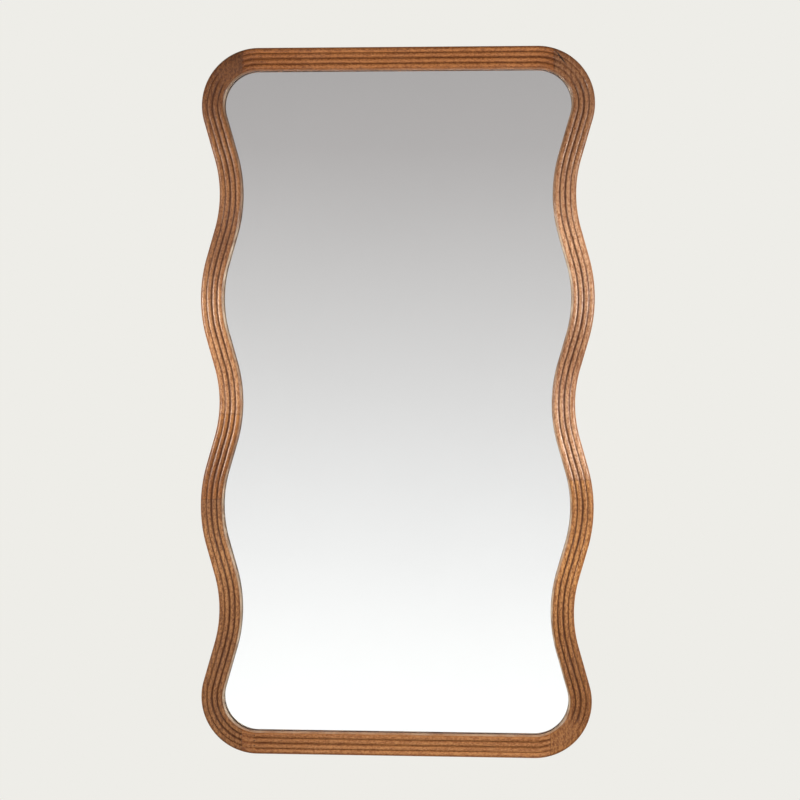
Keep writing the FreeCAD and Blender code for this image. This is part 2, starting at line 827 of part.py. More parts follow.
def add_ring(name, placement):
    """A ring of round wire: a straight bar in the curl of the strap, and a round bow above it."""
    body = add_body(name)
    bend = size("ring_corner_radius")
    bar = total(("strap_width/2", "ring_side_gap"))
    up = Vector(0, 0, 1)
    bow = bar + bend
    curves = [
        Part.LineSegment(Vector(0, 0, 0), Vector(bar, 0, 0)),
        Part.ArcOfCircle(Part.Circle(Vector(bar, bend, 0), up, bend), -RIGHT_ANGLE, 0),
        Part.ArcOfCircle(Part.Circle(Vector(0, bend, 0), up, bow), 0, math.pi),
        Part.ArcOfCircle(Part.Circle(Vector(-bar, bend, 0), up, bend), math.pi, math.pi + RIGHT_ANGLE),
        Part.LineSegment(Vector(-bar, 0, 0), Vector(0, 0, 0)),
    ]
    path = add_sketch(body, "path", "XZ_Plane", "-1 * " + rule(CURL_OUTER))
    draw_loop(path, curves)
    wire = add_sketch(body, "wire", "YZ_Plane")
    draw_circles(wire, [(total(CURL_OUTER), 0)], WIRE_RADIUS)
    sweep(body, wire, path)
    body.Placement = placement
    doc.recompute()
    keep(body)


def add_hanger_screws():
    """Screws with domed heads that hold down the straps."""
    head = size("hanger_screw_head_diameter") / 2
    shank = total(HANGER_SCREW_RADIUS)
    length = size("hanger_screw_length")
    height = size("hanger_screw_head_height")
    rim = size("hanger_screw_head_rim")
    dome_height = height - rim
    dome_radius = (head**2 + dome_height**2) / (2 * dome_height)
    half_way = math.asin(head / dome_radius) / 2
    shoulder_y = height - dome_radius * (1 - math.cos(half_way))
    shoulder = Vector(dome_radius * math.sin(half_way), shoulder_y, 0)
    points = [
        (0, height),
        (0, -length),
        (shank, size("hanger_screw_tip") - length),
        (shank, 0),
        (head, 0),
        (head, rim),
    ]
    corners = [Vector(*point, 0) for point in points]
    dome = Part.Arc(corners[-1], shoulder, corners[0])
    screw = add_body("hanger_screw")
    turn(screw, lines_through(corners) + [dome])
    make_group("hanger_screws", screw, hanger_screw_placements())


# The bumpers.


def add_bumper(name, side, side_z):
    """A soft round bumper behind a corner, with a rounded rim towards the wall."""
    body = add_body(name)
    radius = size("bumper_diameter") / 2
    height = size("bumper_height")
    rounding = size("bumper_round")
    face = radius - rounding
    bend = RIGHT_ANGLE / 2
    middle = Vector(face + rounding * math.cos(bend), height - rounding * (1 - math.sin(bend)), 0)
    points = [(face, height), (0, height), (0, 0), (radius, 0), (radius, height - rounding)]
    corners = [Vector(*point, 0) for point in points]
    turn(body, lines_through(corners) + [Part.Arc(corners[-1], middle, corners[0])])
    place = corner_arc(("bumper_inset",), 0, 0).at(bend)
    body.Placement = Placement(Vector(side * place.x, -height, side_z * place.y), Rotation())
    doc.recompute()
    keep(body)


def build():
    add_rail("top_rail", 1)
    add_rail("bottom_rail", -1)
    add_side_end("left_side_upper", -1, 1, "left_upper_joint")
    add_side_middle("left_side_middle", -1, "left_upper_joint", "left_lower_joint")
    add_side_end("left_side_lower", -1, -1, "left_lower_joint")
    add_side_end("right_side_upper", 1, 1, "right_joint")
    add_side_end("right_side_lower", 1, -1, "right_joint")
    dowel = add_dowel()
    add_side_dowels("dowels_left_upper", dowel, -1, "left_upper_joint")
    add_side_dowels("dowels_left_lower", dowel, -1, "left_lower_joint")
    add_side_dowels("dowels_right", dowel, 1, "right_joint")
    for side, side_name in ((-1, "left"), (1, "right")):
        for side_z, level in ((1, "top"), (-1, "bottom")):
            add_rail_dowels("dowels_%s_%s" % (level, side_name), dowel, side, side_z)
            add_bumper("wall_bumper_%s_%s" % (level, side_name), side, side_z)
    add_layer("glazing_tape", TAPE_BACK, "tape_thickness", TAPE_OUTER, TAPE_INNER)
    add_layer("mirror_glass", GLASS_BACK, "glass_thickness", GLASS_EDGE)
    add_setting_blocks()
    add_layer("safety_film", FILM_BACK, "film_thickness", GLASS_EDGE)
    add_layer("foam_sheet", FOAM_BACK, "foam_thickness", GLASS_EDGE)
    add_backing_board()
    add_board_screws()
    for name, placement in hanger_placements().items():
        add_strap("hanger_strap_" + name, placement)
        add_ring("hanger_ring_" + name, placement)
    add_hanger_screws()


def check_and_write():
    """Stops on any failed feature, then writes one file for each node."""
    doc.recompute()
    for item in doc.Objects:
        if "Invalid" in item.State or "Error" in item.State:
            raise ValueError("%s failed: %s" % (item.Name, item.State))
    for node in nodes:
        if node.Shape.isNull() or not node.Shape.isValid() or not node.Shape.Solids:
            raise ValueError(node.Label + " has no valid solid")
    os.makedirs("parts", exist_ok=True)
    for node in nodes:
        node.Shape.exportStep("parts/%s.step" % node.Label)
        print("%-26s %2d solids %10.1f mm3" % (node.Label, len(node.Shape.Solids), node.Shape.Volume))


build()
check_and_write()
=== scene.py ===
import math

import bmesh
import bpy
import numpy as np
from bpy.props import (FloatProperty, FloatVectorProperty, IntProperty,
                       PointerProperty)
from mathutils import Matrix, Vector


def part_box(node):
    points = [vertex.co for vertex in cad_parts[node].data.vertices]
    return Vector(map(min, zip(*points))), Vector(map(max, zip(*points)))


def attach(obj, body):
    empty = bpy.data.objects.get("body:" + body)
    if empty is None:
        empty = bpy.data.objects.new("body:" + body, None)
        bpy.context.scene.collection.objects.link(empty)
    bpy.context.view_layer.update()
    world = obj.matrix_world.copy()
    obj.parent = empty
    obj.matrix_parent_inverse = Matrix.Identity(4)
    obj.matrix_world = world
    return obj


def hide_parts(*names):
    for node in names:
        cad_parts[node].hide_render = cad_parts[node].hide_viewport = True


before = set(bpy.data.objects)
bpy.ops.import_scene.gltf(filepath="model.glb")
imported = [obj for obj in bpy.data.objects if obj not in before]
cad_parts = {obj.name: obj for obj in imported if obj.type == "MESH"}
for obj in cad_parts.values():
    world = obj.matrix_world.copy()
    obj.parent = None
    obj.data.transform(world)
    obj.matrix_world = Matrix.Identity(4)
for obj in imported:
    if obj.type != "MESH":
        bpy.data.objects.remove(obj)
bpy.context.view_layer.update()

bl_info = {
    "name": "Wavy Wall Mirror",
    "version": (1, 0, 0),
    "blender": (4, 5, 0),
    "location": "3D View > Sidebar > Mirror",
    "description": "Dresses a tall wall mirror in a reeded, wavy frame of stained wood",
    "category": "Object",
}

GLASS_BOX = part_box("mirror_glass")
BOARD_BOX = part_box("backing_board")


# Small helpers

def size(name, value, text):
    """A length in metres that the user may change."""
    return FloatProperty(name=name, description=text, default=value, unit="LENGTH",
                         precision=5)


def share(name, value, text):
    """A share from nothing to all."""
    return FloatProperty(name=name, description=text, default=value, min=0.0, max=1.0,
                         subtype="FACTOR")


def linear(code):
    """The linear light colour of a six-figure screen colour."""
    parts = [int(code[i:i + 2], 16) / 255 for i in (0, 2, 4)]
    return tuple(p / 12.92 if p <= 0.04045 else ((p + 0.055) / 1.055) ** 2.4
                 for p in parts)


def tint(name, code, text):
    """A colour that the user may change, given as on the screen."""
    return FloatVectorProperty(name=name, description=text, default=linear(code), size=3,
                               min=0.0, max=1.0, subtype="COLOR")


def rgba(colour):
    """A colour with full opacity, as the shader sockets take it."""
    return (colour[0], colour[1], colour[2], 1.0)


# Settings

class FrameSettings(bpy.types.PropertyGroup):
    """Sizes and finish of the wooden frame."""
    height: size("Height", 1.8, "Height over the frame")
    width: size("Width", 1.0, "Width over the bulges of the sides")
    wave_depth: size("Wave depth", 0.048, "How far the sides wave in and out")
    wave_lean: FloatProperty(name="Wave lean", default=math.radians(16.0), subtype="ANGLE",
                             description="Steepest lean of the sides from upright")
    corner_radius: size("Corner radius", 0.145, "Outer radius of the corners")
    corner_inset: size("Corner inset", 0.002, "How far the corners stand inside the bulges")
    member_width: size("Member width", 0.058, "Width of the moulding")
    depth: size("Depth", 0.030, "Front to back of the moulding")
    reed_height: size("Reed height", 0.0032, "How high a reed stands over its grooves")
    outer_drop: size("Outer drop", 0.0028, "Fall of the moulding at its outer edge")
    inner_drop: size("Inner drop", 0.0013, "Fall of the moulding at its inner edge")
    bevel_width: size("Bevel width", 0.002, "Width of the bevel at the inner edge")
    bevel_depth: size("Bevel depth", 0.0035, "Depth of the bevel at the inner edge")
    edge_ease: size("Eased edge", 0.0015, "Rounding of the back's outer edge")
    lip_width: size("Lip width", 0.010, "Width of the lip over the glass")
    ledge_width: size("Ledge width", 0.012, "Width of the ledge behind the board")
    board_ledge: size("Board ledge", 0.0065, "Depth of the rebate that holds the board")
    glass_ledge: size("Glass ledge", 0.0148, "Height of the lip's back over the frame's back")
    wall_gap: size("Wall gap", 0.0065, "Distance of the frame's back from the wall")
    station: size("Mesh spacing", 0.0045, "Length of the mesh's cells along the moulding")
    joint_ease: size("Joint ease", 0.00030, "How far the edges at a joint are rounded over")
    rail_joint: size("Rail joint", 0.394, "Joint of rail and side, from the middle")
    left_upper_joint: size("Left upper joint", -0.030, "Height of the left side's upper joint")
    left_lower_joint: size("Left lower joint", -0.249, "Height of the left side's lower joint")
    right_joint: size("Right joint", -0.193, "Height of the right side's joint")
    # The stain colour also paints the shade in the grooves
    stain: tint("Stain", "43210D", "Colour of the stain in the grooves")
    pore: tint("Pores", "3A2112", "Colour of the wood's pores")
    # This cream also paints the highlight on the inner bevel
    bare_and_lit_wood: tint("Bare wood", "E4D2BA", "Colour of the wood where the stain is rubbed off")
    # Groove darkening: stain gathered there and painted groove shade, less on the rails
    groove_stain_and_shade: share("Groove stain", 0.95, "How dark the stain has gathered in the grooves")
    rail_stain_and_shade: share("Rail stain", 0.62, "How much of the groove stain the rails have")
    # Crest wear also paints a highlight along the crests
    crest_wear_and_highlight: share("Crest wear", 0.90, "How much lighter the crests have been sanded")
    figure: share("Figure", 0.6, "Strength of the growth lines")
    speckle: FloatProperty(name="Speckle", default=1.4, min=0.0,
                           description="Strength of the fine speckle")
    lacquer: share("Lacquer", 0.38, "Strength of the clear lacquer")


class MirrorSettings(bpy.types.PropertyGroup):
    """The glass and what lies behind it."""
    glass_inset: size("Glass inset", 0.050, "Distance of the glass edge inside the frame's edge")
    silver_rim: size("Silver rim", 0.0008, "Bare glass around the silvering")
    silver_depth: size("Silver depth", 0.00005, "Distance of the silvering from the back face")
    silver_thickness: size("Silver thickness", 0.00003, "Thickness of the silvering")
    silver: tint("Silver", "FAFAFA", "Colour of the silvering")
    glass: tint("Glass", "FCFEFD", "Colour of the glass")
    board: tint("Fibreboard", "A67A4B", "Colour of the backing board")
    foam: tint("Foam", "E9E8E2", "Colour of the foam sheet")
    film: tint("Film", "C9CDCD", "Colour of the safety film")


class HardwareSettings(bpy.types.PropertyGroup):
    """Screws, hangers and bumpers."""
    zinc: tint("Yellow zinc", "C9A85A", "Colour of the board's screws")
    nickel: tint("Nickel", "C9C6C0", "Colour of the hangers")
    rubber: tint("Rubber", "7E8080", "Colour of the wall bumpers")
    thread_pitch: size("Thread pitch", 0.0014, "Distance between the turns of a thread")
    screw_spacing: size("Screw spacing", 0.22, "Distance between two screws of the board")
    strap_drop: size("Strap drop", 0.340, "Depth of the side straps' eyes below the top")
    strap_end: size("Strap end", 0.170, "Distance of the rail straps' eyes from the side")
    near_screw: size("Near screw", 0.022, "Distance of a strap's first screw from its eye")
    far_screw: size("Far screw", 0.036, "Distance of a strap's second screw from its eye")
    screw_stand: size("Screw stand", 0.0029, "Distance of the hanger screws' tops from the wall")
    around: IntProperty(name="Steps around", default=24, min=12,
                        description="Steps around a screw, a multiple of four")


class StageSettings(bpy.types.PropertyGroup):
    """Floor, lights and camera."""
    lens: FloatProperty(name="Lens", default=70.95, unit="CAMERA", subtype="NONE",
                        description="Focal length in millimetres")
    camera_place: FloatVectorProperty(name="Camera", default=(0.2241, -4.0245, 0.0827),
                                      subtype="TRANSLATION", unit="LENGTH",
                                      description="Place of the camera")
    camera_turn: FloatProperty(name="Turn", default=math.radians(3.075), subtype="ANGLE",
                               description="Turn of the camera to the left")
    camera_tilt: FloatProperty(name="Tilt", default=math.radians(-1.08), subtype="ANGLE",
                               description="Tilt of the camera upwards")
    camera_roll: FloatProperty(name="Roll", default=math.radians(0.18), subtype="ANGLE",
                               description="Roll of the camera")
    floor_level: size("Floor level", -1.12, "Height of the floor")
    floor: tint("Floor", "EDECE7", "Colour of the floor")
    backdrop: tint("Backdrop", "EEEDE8", "Colour of the studio behind the object")
    ambient: FloatProperty(name="Ambient", default=0.31, min=0.0,
                           description="Strength of the light from all around")
    left_light: FloatProperty(name="Left light", default=46.0, min=0.0, unit="POWER",
                              description="Power of the soft light at the left")
    right_light: FloatProperty(name="Right light", default=47.0, min=0.0, unit="POWER",
                               description="Power of the soft light at the right")
    front_light: FloatProperty(name="Front light", default=34.0, min=0.0, unit="POWER",
                               description="Power of the large light over the camera")
    back_light: FloatProperty(name="Back light", default=45.0, min=0.0, unit="POWER",
                              description="Power of the light that shows the back")


# Shader helpers

def put(tree, kind, setup=None, **inputs):
    """A node in the tree, with its settings and inputs. An input is a value or another socket."""
    node = tree.nodes.new(kind)
    for name, value in (setup or {}).items():
        setattr(node, name, value)
    wire(tree, node, **inputs)
    return node


def wire(tree, node, **inputs):
    """Gives a node's named inputs their values. An underscore stands for a space."""
    for name, value in inputs.items():
        feed(tree, node.inputs[name.replace("_", " ")], value)


def feed(tree, socket, value):
    """Joins a socket to another socket, or gives it a value."""
    if isinstance(value, bpy.types.NodeSocket):
        tree.links.new(value, socket)
    else:
        socket.default_value = value


def calc(tree, operation, first, second=0.0, third=0.0, clamp=False):
    """The result of a sum of one to three numbers."""
    node = put(tree, "ShaderNodeMath", {"operation": operation, "use_clamp": clamp})
    for socket, value in zip(node.inputs, (first, second, third)):
        feed(tree, socket, value)
    return node.outputs[0]


def blend(tree, factor, first, second, mode="MIX"):
    """Two colours mixed by a factor. A Mix node's colours are its inputs 6 and 7 and its
    output 2."""
    node = put(tree, "ShaderNodeMix", {"data_type": "RGBA", "blend_type": mode})
    feed(tree, node.inputs[0], factor)
    feed(tree, node.inputs[6], first)
    feed(tree, node.inputs[7], second)
    return node.outputs[2]


def between(tree, value, low, high, to_low=0.0, to_high=1.0, smooth=False):
    """A value moved from one range to another and held within it."""
    kind = "SMOOTHSTEP" if smooth else "LINEAR"
    node = put(tree, "ShaderNodeMapRange", {"interpolation_type": kind})
    for socket, number in zip(node.inputs, (value, low, high, to_low, to_high)):
        feed(tree, socket, number)
    return node.outputs[0]


def noise(tree, vector, scale, detail=2.0, roughness=0.5, distortion=0.0):
    """A cloudy value between nothing and one."""
    node = put(tree, "ShaderNodeTexNoise", Vector=vector, Scale=scale, Detail=detail,
               Roughness=roughness, Distortion=distortion)
    return node.outputs["Fac"]


def vector_calc(tree, operation, first, second):
    """The result of a sum of two places."""
    node = put(tree, "ShaderNodeVectorMath", {"operation": operation})
    feed(tree, node.inputs[0], first)
    feed(tree, node.inputs[1], second)
    return node.outputs[0]


def stretch(tree, vector, amounts):
    """A place with each of its parts multiplied."""
    return vector_calc(tree, "MULTIPLY", vector, amounts)


def grey(tree, value):
    """A grey of the given lightness."""
    return put(tree, "ShaderNodeCombineXYZ", X=value, Y=value, Z=value).outputs[0]


def new_group(name, ins, outs):
    """An empty shader group with named sockets, and its input and output nodes."""
    tree = bpy.data.node_groups.new(name, "ShaderNodeTree")
    for label, kind, default in ins:
        socket = tree.interface.new_socket(label, in_out="INPUT", socket_type=kind)
        if default is not None:
            socket.default_value = default
    for label, kind in outs:
        tree.interface.new_socket(label, in_out="OUTPUT", socket_type=kind)
    return tree, tree.nodes.new("NodeGroupInput").outputs, tree.nodes.new("NodeGroupOutput")


FLOAT, COLOUR, VECTOR = "NodeSocketFloat", "NodeSocketColor", "NodeSocketVector"
GREY = (0.5, 0.5, 0.5, 1.0)


def wood_grain_group():
    """Straight-grained wood: growth lines, fibres, speckle and pores, along the vector's Z."""
    tree, given, out = new_group(
        "Wood grain",
        [("Vector", VECTOR, None), ("Light", COLOUR, GREY), ("Dark", COLOUR, GREY),
         ("Pore", COLOUR, GREY), ("Figure", FLOAT, 0.5), ("Speckle", FLOAT, 0.5)],
        [("Color", COLOUR), ("Roughness", FLOAT), ("Height", FLOAT)])
    place = given["Vector"]
    wander = noise(tree, stretch(tree, place, (1.0, 1.0, 0.25)), 7.0, 3.0)
    long_place = stretch(tree, place, (1.0, 1.0, 0.045))
    bands = put(tree, "ShaderNodeTexWave", {"wave_type": "BANDS", "bands_direction": "X"},
                Vector=long_place, Scale=26.0, Distortion=9.0, Detail=3.0,
                Detail_Scale=0.6).outputs["Fac"]
    fibres = noise(tree, long_place, 620.0, 3.0, 0.6)
    streaks = noise(tree, long_place, 150.0, 3.0, 0.55)
    grit_place = stretch(tree, place, (1.0, 1.0, 0.5))
    grit = noise(tree, grit_place, 300.0, 2.0, 0.6)
    fine_grit = noise(tree, grit_place, 900.0, 2.0, 0.6)
    pore_place = stretch(tree, place, (1.0, 1.0, 0.11))
    pores = between(tree, noise(tree, pore_place, 1500.0, 1.0), 0.63, 0.72)
    figure = calc(tree, "MULTIPLY_ADD", bands, 0.5, calc(tree, "MULTIPLY", streaks, 0.9))
    figure = calc(tree, "MULTIPLY_ADD", wander, 0.9, figure)
    figure = between(tree, figure, 0.62, 1.5)
    figure = calc(tree, "SUBTRACT", figure, 0.5)
    speck = calc(tree, "MULTIPLY_ADD", fine_grit, 0.6, grit)
    speck = between(tree, speck, 0.58, 1.02)
    speck = calc(tree, "SUBTRACT", speck, 0.5)
    tone = calc(tree, "MULTIPLY_ADD", figure, given["Figure"], 0.5)
    tone = calc(tree, "MULTIPLY_ADD", speck, given["Speckle"], tone)
    tone = calc(tree, "MULTIPLY_ADD", calc(tree, "SUBTRACT", fibres, 0.5), 0.35, tone,
                clamp=True)
    colour = blend(tree, tone, given["Dark"], given["Light"])
    colour = blend(tree, calc(tree, "MULTIPLY", pores, 0.55), colour, given["Pore"])
    height = calc(tree, "MULTIPLY_ADD", fibres, 0.5, calc(tree, "MULTIPLY", grit, 0.35))
    height = calc(tree, "SUBTRACT", height, calc(tree, "MULTIPLY", pores, 0.5))
    rough = between(tree, tone, 0.0, 1.0, 0.50, 0.38)
    wire(tree, out, Color=colour, Roughness=rough, Height=height)
    return tree


def groove_stain_and_shade_group():
    """Stain and painted shade in the grooves, painted light and shade from the tone, and crests
    and inner edge rubbed lighter with painted highlights.
    """
    tree, given, out = new_group(
        "Groove stain",
        [("Color", COLOUR, GREY), ("Roughness", FLOAT, 0.4), ("Stain", COLOUR, GREY),
         ("Groove", FLOAT, 0.0), ("Crest", FLOAT, 0.0), ("Tone", FLOAT, 1.0),
         ("Arris", FLOAT, 0.0), ("Bare wood", COLOUR, GREY),
         ("Darkness", FLOAT, 0.7), ("Wear", FLOAT, 0.2), ("Lacquer", FLOAT, 0.4),
         ("Vector", VECTOR, None)],
        [("Color", COLOUR), ("Roughness", FLOAT), ("Coat Weight", FLOAT)])
    # Darkens the grooves to the stain colour: stain gathered there and painted groove shade
    patchy = between(tree, noise(tree, given["Vector"], 60.0, 3.0), 0.3, 0.7, 0.75, 1.0)
    mask = calc(tree, "MULTIPLY", calc(tree, "POWER", given["Groove"], 1.2), patchy)
    mask = calc(tree, "MULTIPLY", mask, given["Darkness"], clamp=True)
    # Lighter crests: sanding through the stain and a painted highlight, more where the tone is
    # high
    worn_and_lit = calc(tree, "MULTIPLY", given["Crest"], given["Wear"])
    worn_and_lit = calc(tree, "MULTIPLY", worn_and_lit, noise(tree, given["Vector"], 90.0, 3.0))
    worn_and_lit = calc(tree, "MULTIPLY", worn_and_lit, calc(tree, "POWER", given["Tone"], 1.5), clamp=True)
    lighter = blend(tree, 1.0, given["Color"], (1.45, 1.9, 2.6, 1.0), "MULTIPLY")
    colour = blend(tree, worn_and_lit, given["Color"], lighter)
    # The tone darkens the colour, less in red than in blue: the board's own tone with painted
    # light and shade
    shades = [calc(tree, "POWER", given["Tone"], power) for power in (0.88, 1.04, 1.25)]
    shade = put(tree, "ShaderNodeCombineXYZ", X=shades[0], Y=shades[1],
                Z=shades[2]).outputs[0]
    colour = blend(tree, 1.0, colour, shade, "MULTIPLY")
    colour = blend(tree, mask, colour, given["Stain"])
    # The inner edge rubbed bare, with a painted highlight along the bevel
    rubbed = between(tree, noise(tree, given["Vector"], 26.0, 3.0), 0.35, 0.62, 0.30, 0.80)
    rubbed = calc(tree, "MULTIPLY", rubbed, given["Arris"], clamp=True)
    colour = blend(tree, rubbed, colour, given["Bare wood"])
    rough = calc(tree, "MULTIPLY_ADD", mask, 0.25, given["Roughness"])
    dull = calc(tree, "MAXIMUM", given["Groove"], calc(tree, "MULTIPLY", given["Arris"], 0.8))
    coat = calc(tree, "MULTIPLY", given["Lacquer"], calc(tree, "SUBTRACT", 1.0, dull),
                clamp=True)
    wire(tree, out, Color=colour, Roughness=rough, Coat_Weight=coat)
    return tree


def knot_group():
    """A small dark knot or crack, turned about Y, and a mask of it."""
    tree, given, out = new_group(
        "Knot",
        [("Color", COLOUR, GREY), ("Vector", VECTOR, None), ("Middle", VECTOR, None),
         ("Reach", VECTOR, None), ("Turn", FLOAT, 0.0), ("Heart", COLOUR, GREY)],
        [("Color", COLOUR), ("Mask", FLOAT)])
    away = vector_calc(tree, "SUBTRACT", given["Vector"], given["Middle"])
    spun = put(tree, "ShaderNodeVectorRotate", {"rotation_type": "Y_AXIS"}, Vector=away,
               Angle=given["Turn"]).outputs[0]
    scaled = vector_calc(tree, "DIVIDE", spun, given["Reach"])
    length = put(tree, "ShaderNodeVectorMath", {"operation": "LENGTH"}, Vector=scaled)
    rough_edge = calc(tree, "MULTIPLY_ADD", noise(tree, given["Vector"], 400.0, 3.0), 0.5,
                      length.outputs["Value"])
    mask = between(tree, rough_edge, 1.25, 0.55, smooth=True)
    wire(tree, out, Color=blend(tree, mask, given["Color"], given["Heart"]), Mask=mask)
    return tree


def dust_group():
    """Faint dust and handling marks, which roughen and lighten a finish."""
    tree, given, out = new_group(
        "Dust",
        [("Color", COLOUR, GREY), ("Roughness", FLOAT, 0.4), ("Vector", VECTOR, None),
         ("Amount", FLOAT, 0.1), ("Dust color", COLOUR, (0.75, 0.72, 0.67, 1.0))],
        [("Color", COLOUR), ("Roughness", FLOAT)])
    cloud = noise(tree, given["Vector"], 14.0, 5.0, 0.65)
    specks = between(tree, noise(tree, given["Vector"], 700.0, 2.0), 0.62, 0.75)
    amount = calc(tree, "MULTIPLY_ADD", specks, 0.5, between(tree, cloud, 0.45, 0.8))
    amount = calc(tree, "MULTIPLY", amount, given["Amount"], clamp=True)
    wire(tree, out, Color=blend(tree, amount, given["Color"], given["Dust color"]),
         Roughness=calc(tree, "MULTIPLY_ADD", amount, 0.4, given["Roughness"]))
    return tree


def brushed_metal_group():
    """Plated metal: fine lines along the vector's Z and a cloudy sheen."""
    tree, given, out = new_group(
        "Brushed metal",
        [("Vector", VECTOR, None), ("Color", COLOUR, GREY), ("Roughness", FLOAT, 0.3),
         ("Streaks", FLOAT, 0.3)],
        [("Color", COLOUR), ("Roughness", FLOAT), ("Height", FLOAT)])
    lines = noise(tree, stretch(tree, given["Vector"], (1.0, 1.0, 0.02)), 2600.0, 2.0)
    cloud = noise(tree, given["Vector"], 120.0, 4.0, 0.6)
    shade = between(tree, cloud, 0.25, 0.75, 0.86, 1.04)
    shade = calc(tree, "MULTIPLY_ADD", calc(tree, "SUBTRACT", lines, 0.5),
                 given["Streaks"], shade)
    colour = blend(tree, 1.0, given["Color"], grey(tree, shade), "MULTIPLY")
    rough = calc(tree, "MULTIPLY_ADD", calc(tree, "SUBTRACT", cloud, 0.5), 0.25,
                 given["Roughness"])
    rough = calc(tree, "MULTIPLY_ADD", calc(tree, "SUBTRACT", lines, 0.5), 0.15, rough)
    wire(tree, out, Color=colour, Roughness=rough, Height=lines)
    return tree


def speckle_group():
    """A matt moulded or pressed finish: two tones in coarse and fine grains."""
    tree, given, out = new_group(
        "Speckle",
        [("Vector", VECTOR, None), ("First", COLOUR, GREY), ("Second", COLOUR, GREY),
         ("Scale", FLOAT, 200.0), ("Contrast", FLOAT, 0.5)],
        [("Color", COLOUR), ("Height", FLOAT)])
    coarse = noise(tree, given["Vector"], given["Scale"], 4.0, 0.65)
    cells = put(tree, "ShaderNodeTexVoronoi", Vector=given["Vector"],
                Scale=calc(tree, "MULTIPLY", given["Scale"], 4.0)).outputs["Distance"]
    mixed = calc(tree, "MULTIPLY_ADD", calc(tree, "SUBTRACT", coarse, 0.5), 1.6, 0.5)
    mixed = calc(tree, "MULTIPLY_ADD", calc(tree, "SUBTRACT", cells, 0.4),
                 given["Contrast"], mixed, clamp=True)
    wire(tree, out, Color=blend(tree, mixed, given["First"], given["Second"]),
         Height=calc(tree, "MULTIPLY_ADD", cells, 0.5, coarse))
    return tree


GROUP_MAKERS = {"Wood grain": wood_grain_group, "Groove stain": groove_stain_and_shade_group,
                "Knot": knot_group, "Dust": dust_group,
                "Brushed metal": brushed_metal_group, "Speckle": speckle_group}


def use_group(tree, name, **inputs):
    """A named group placed in a material's tree. The group is built the first time."""
    group = bpy.data.node_groups.get(name) or GROUP_MAKERS[name]()
    node = tree.nodes.new("ShaderNodeGroup")
    node.node_tree = group
    wire(tree, node, **inputs)
    return node.outputs


def new_material(name):
    """A material with an empty tree, its Principled shader and the object's own place."""
    material = bpy.data.materials.new(name)
    material.use_nodes = True
    tree = material.node_tree
    tree.nodes.clear()
    shader = tree.nodes.new("ShaderNodeBsdfPrincipled")
    put(tree, "ShaderNodeOutputMaterial", Surface=shader.outputs[0])
    place = tree.nodes.new("ShaderNodeTexCoord").outputs["Object"]
    return material, tree, shader, place


def emboss(tree, shader, height, distance, strength=1.0):
    """A bump from a height, in metres."""
    bump = put(tree, "ShaderNodeBump", Height=height, Distance=distance,
               Strength=strength)
    wire(tree, shader, Normal=bump.outputs[0])


def colour_with_dust(tree, shader, place, colour, roughness, amount):
    """Gives the shader its colour and roughness, with a little dust on them."""
    dusty = use_group(tree, "Dust", Color=colour, Roughness=roughness, Vector=place,
                      Amount=amount)
    wire(tree, shader, Base_Color=dusty["Color"], Roughness=dusty["Roughness"])


def turned(tree, place, spin, shift):
    """The place turned about Y so that the grain runs along Z, and moved within the log."""
    node = put(tree, "ShaderNodeMapping", Vector=place, Location=shift,
               Rotation=(0.0, spin, 0.0))
    return node.outputs[0]


def wood_material(name, light, dark, settings, rail, shift, knots):
    """Stained and lacquered solid wood of one board, with painted shade in its grooves, painted
    highlights on its crests and inner edge, and painted light and shade along it.
    """
    material, tree, shader, place = new_material(name)
    spin = math.pi / 2 if rail else 0.0
    moved = turned(tree, place, spin, shift)
    grain = use_group(tree, "Wood grain", Vector=moved, Light=rgba(linear(light)),
                      Dark=rgba(linear(dark)), Pore=rgba(settings.pore),
                      Figure=settings.figure, Speckle=settings.speckle)
    colour = grain["Color"]
    for middle, reach, turn, heart in knots:
        colour = use_group(tree, "Knot", Color=colour, Vector=place, Middle=middle,
                           Reach=reach, Turn=turn, Heart=rgba(linear(heart)))["Color"]
    masks = {label: put(tree, "ShaderNodeAttribute", {"attribute_name": label}).outputs["Fac"]
             for label in ("groove", "crest", "tone", "arris")}
    # Groove darkening: stain with painted shade, less on the rails
    darkness = settings.groove_stain_and_shade * (settings.rail_stain_and_shade if rail else 1.0)
    # The stained result also carries the painted groove shade, painted highlights and painted
    # light and shade
    stained = use_group(tree, "Groove stain", Color=colour, Roughness=grain["Roughness"],
                        Stain=rgba(settings.stain), Groove=masks["groove"],
                        Crest=masks["crest"], Tone=masks["tone"], Arris=masks["arris"],
                        Bare_wood=rgba(settings.bare_and_lit_wood), Darkness=darkness,
                        Wear=settings.crest_wear_and_highlight, Lacquer=settings.lacquer, Vector=moved)
    colour_with_dust(tree, shader, place, stained["Color"], stained["Roughness"], 0.012)
    wire(tree, shader, Coat_Weight=stained["Coat Weight"], Coat_Roughness=0.20,
         Coat_IOR=1.5, Specular_IOR_Level=0.25)
    emboss(tree, shader, grain["Height"], 0.00022, 0.55)
    return material


def metal_material(name, colour, roughness, streaks=0.2, dust=0.06):
    """Plated steel."""
    material, tree, shader, place = new_material(name)
    plate = use_group(tree, "Brushed metal", Vector=place, Color=rgba(colour),
                      Roughness=roughness, Streaks=streaks)
    colour_with_dust(tree, shader, place, plate["Color"], plate["Roughness"], dust)
    wire(tree, shader, Metallic=1.0)
    emboss(tree, shader, plate["Height"], 0.000004, 0.3)
    return material


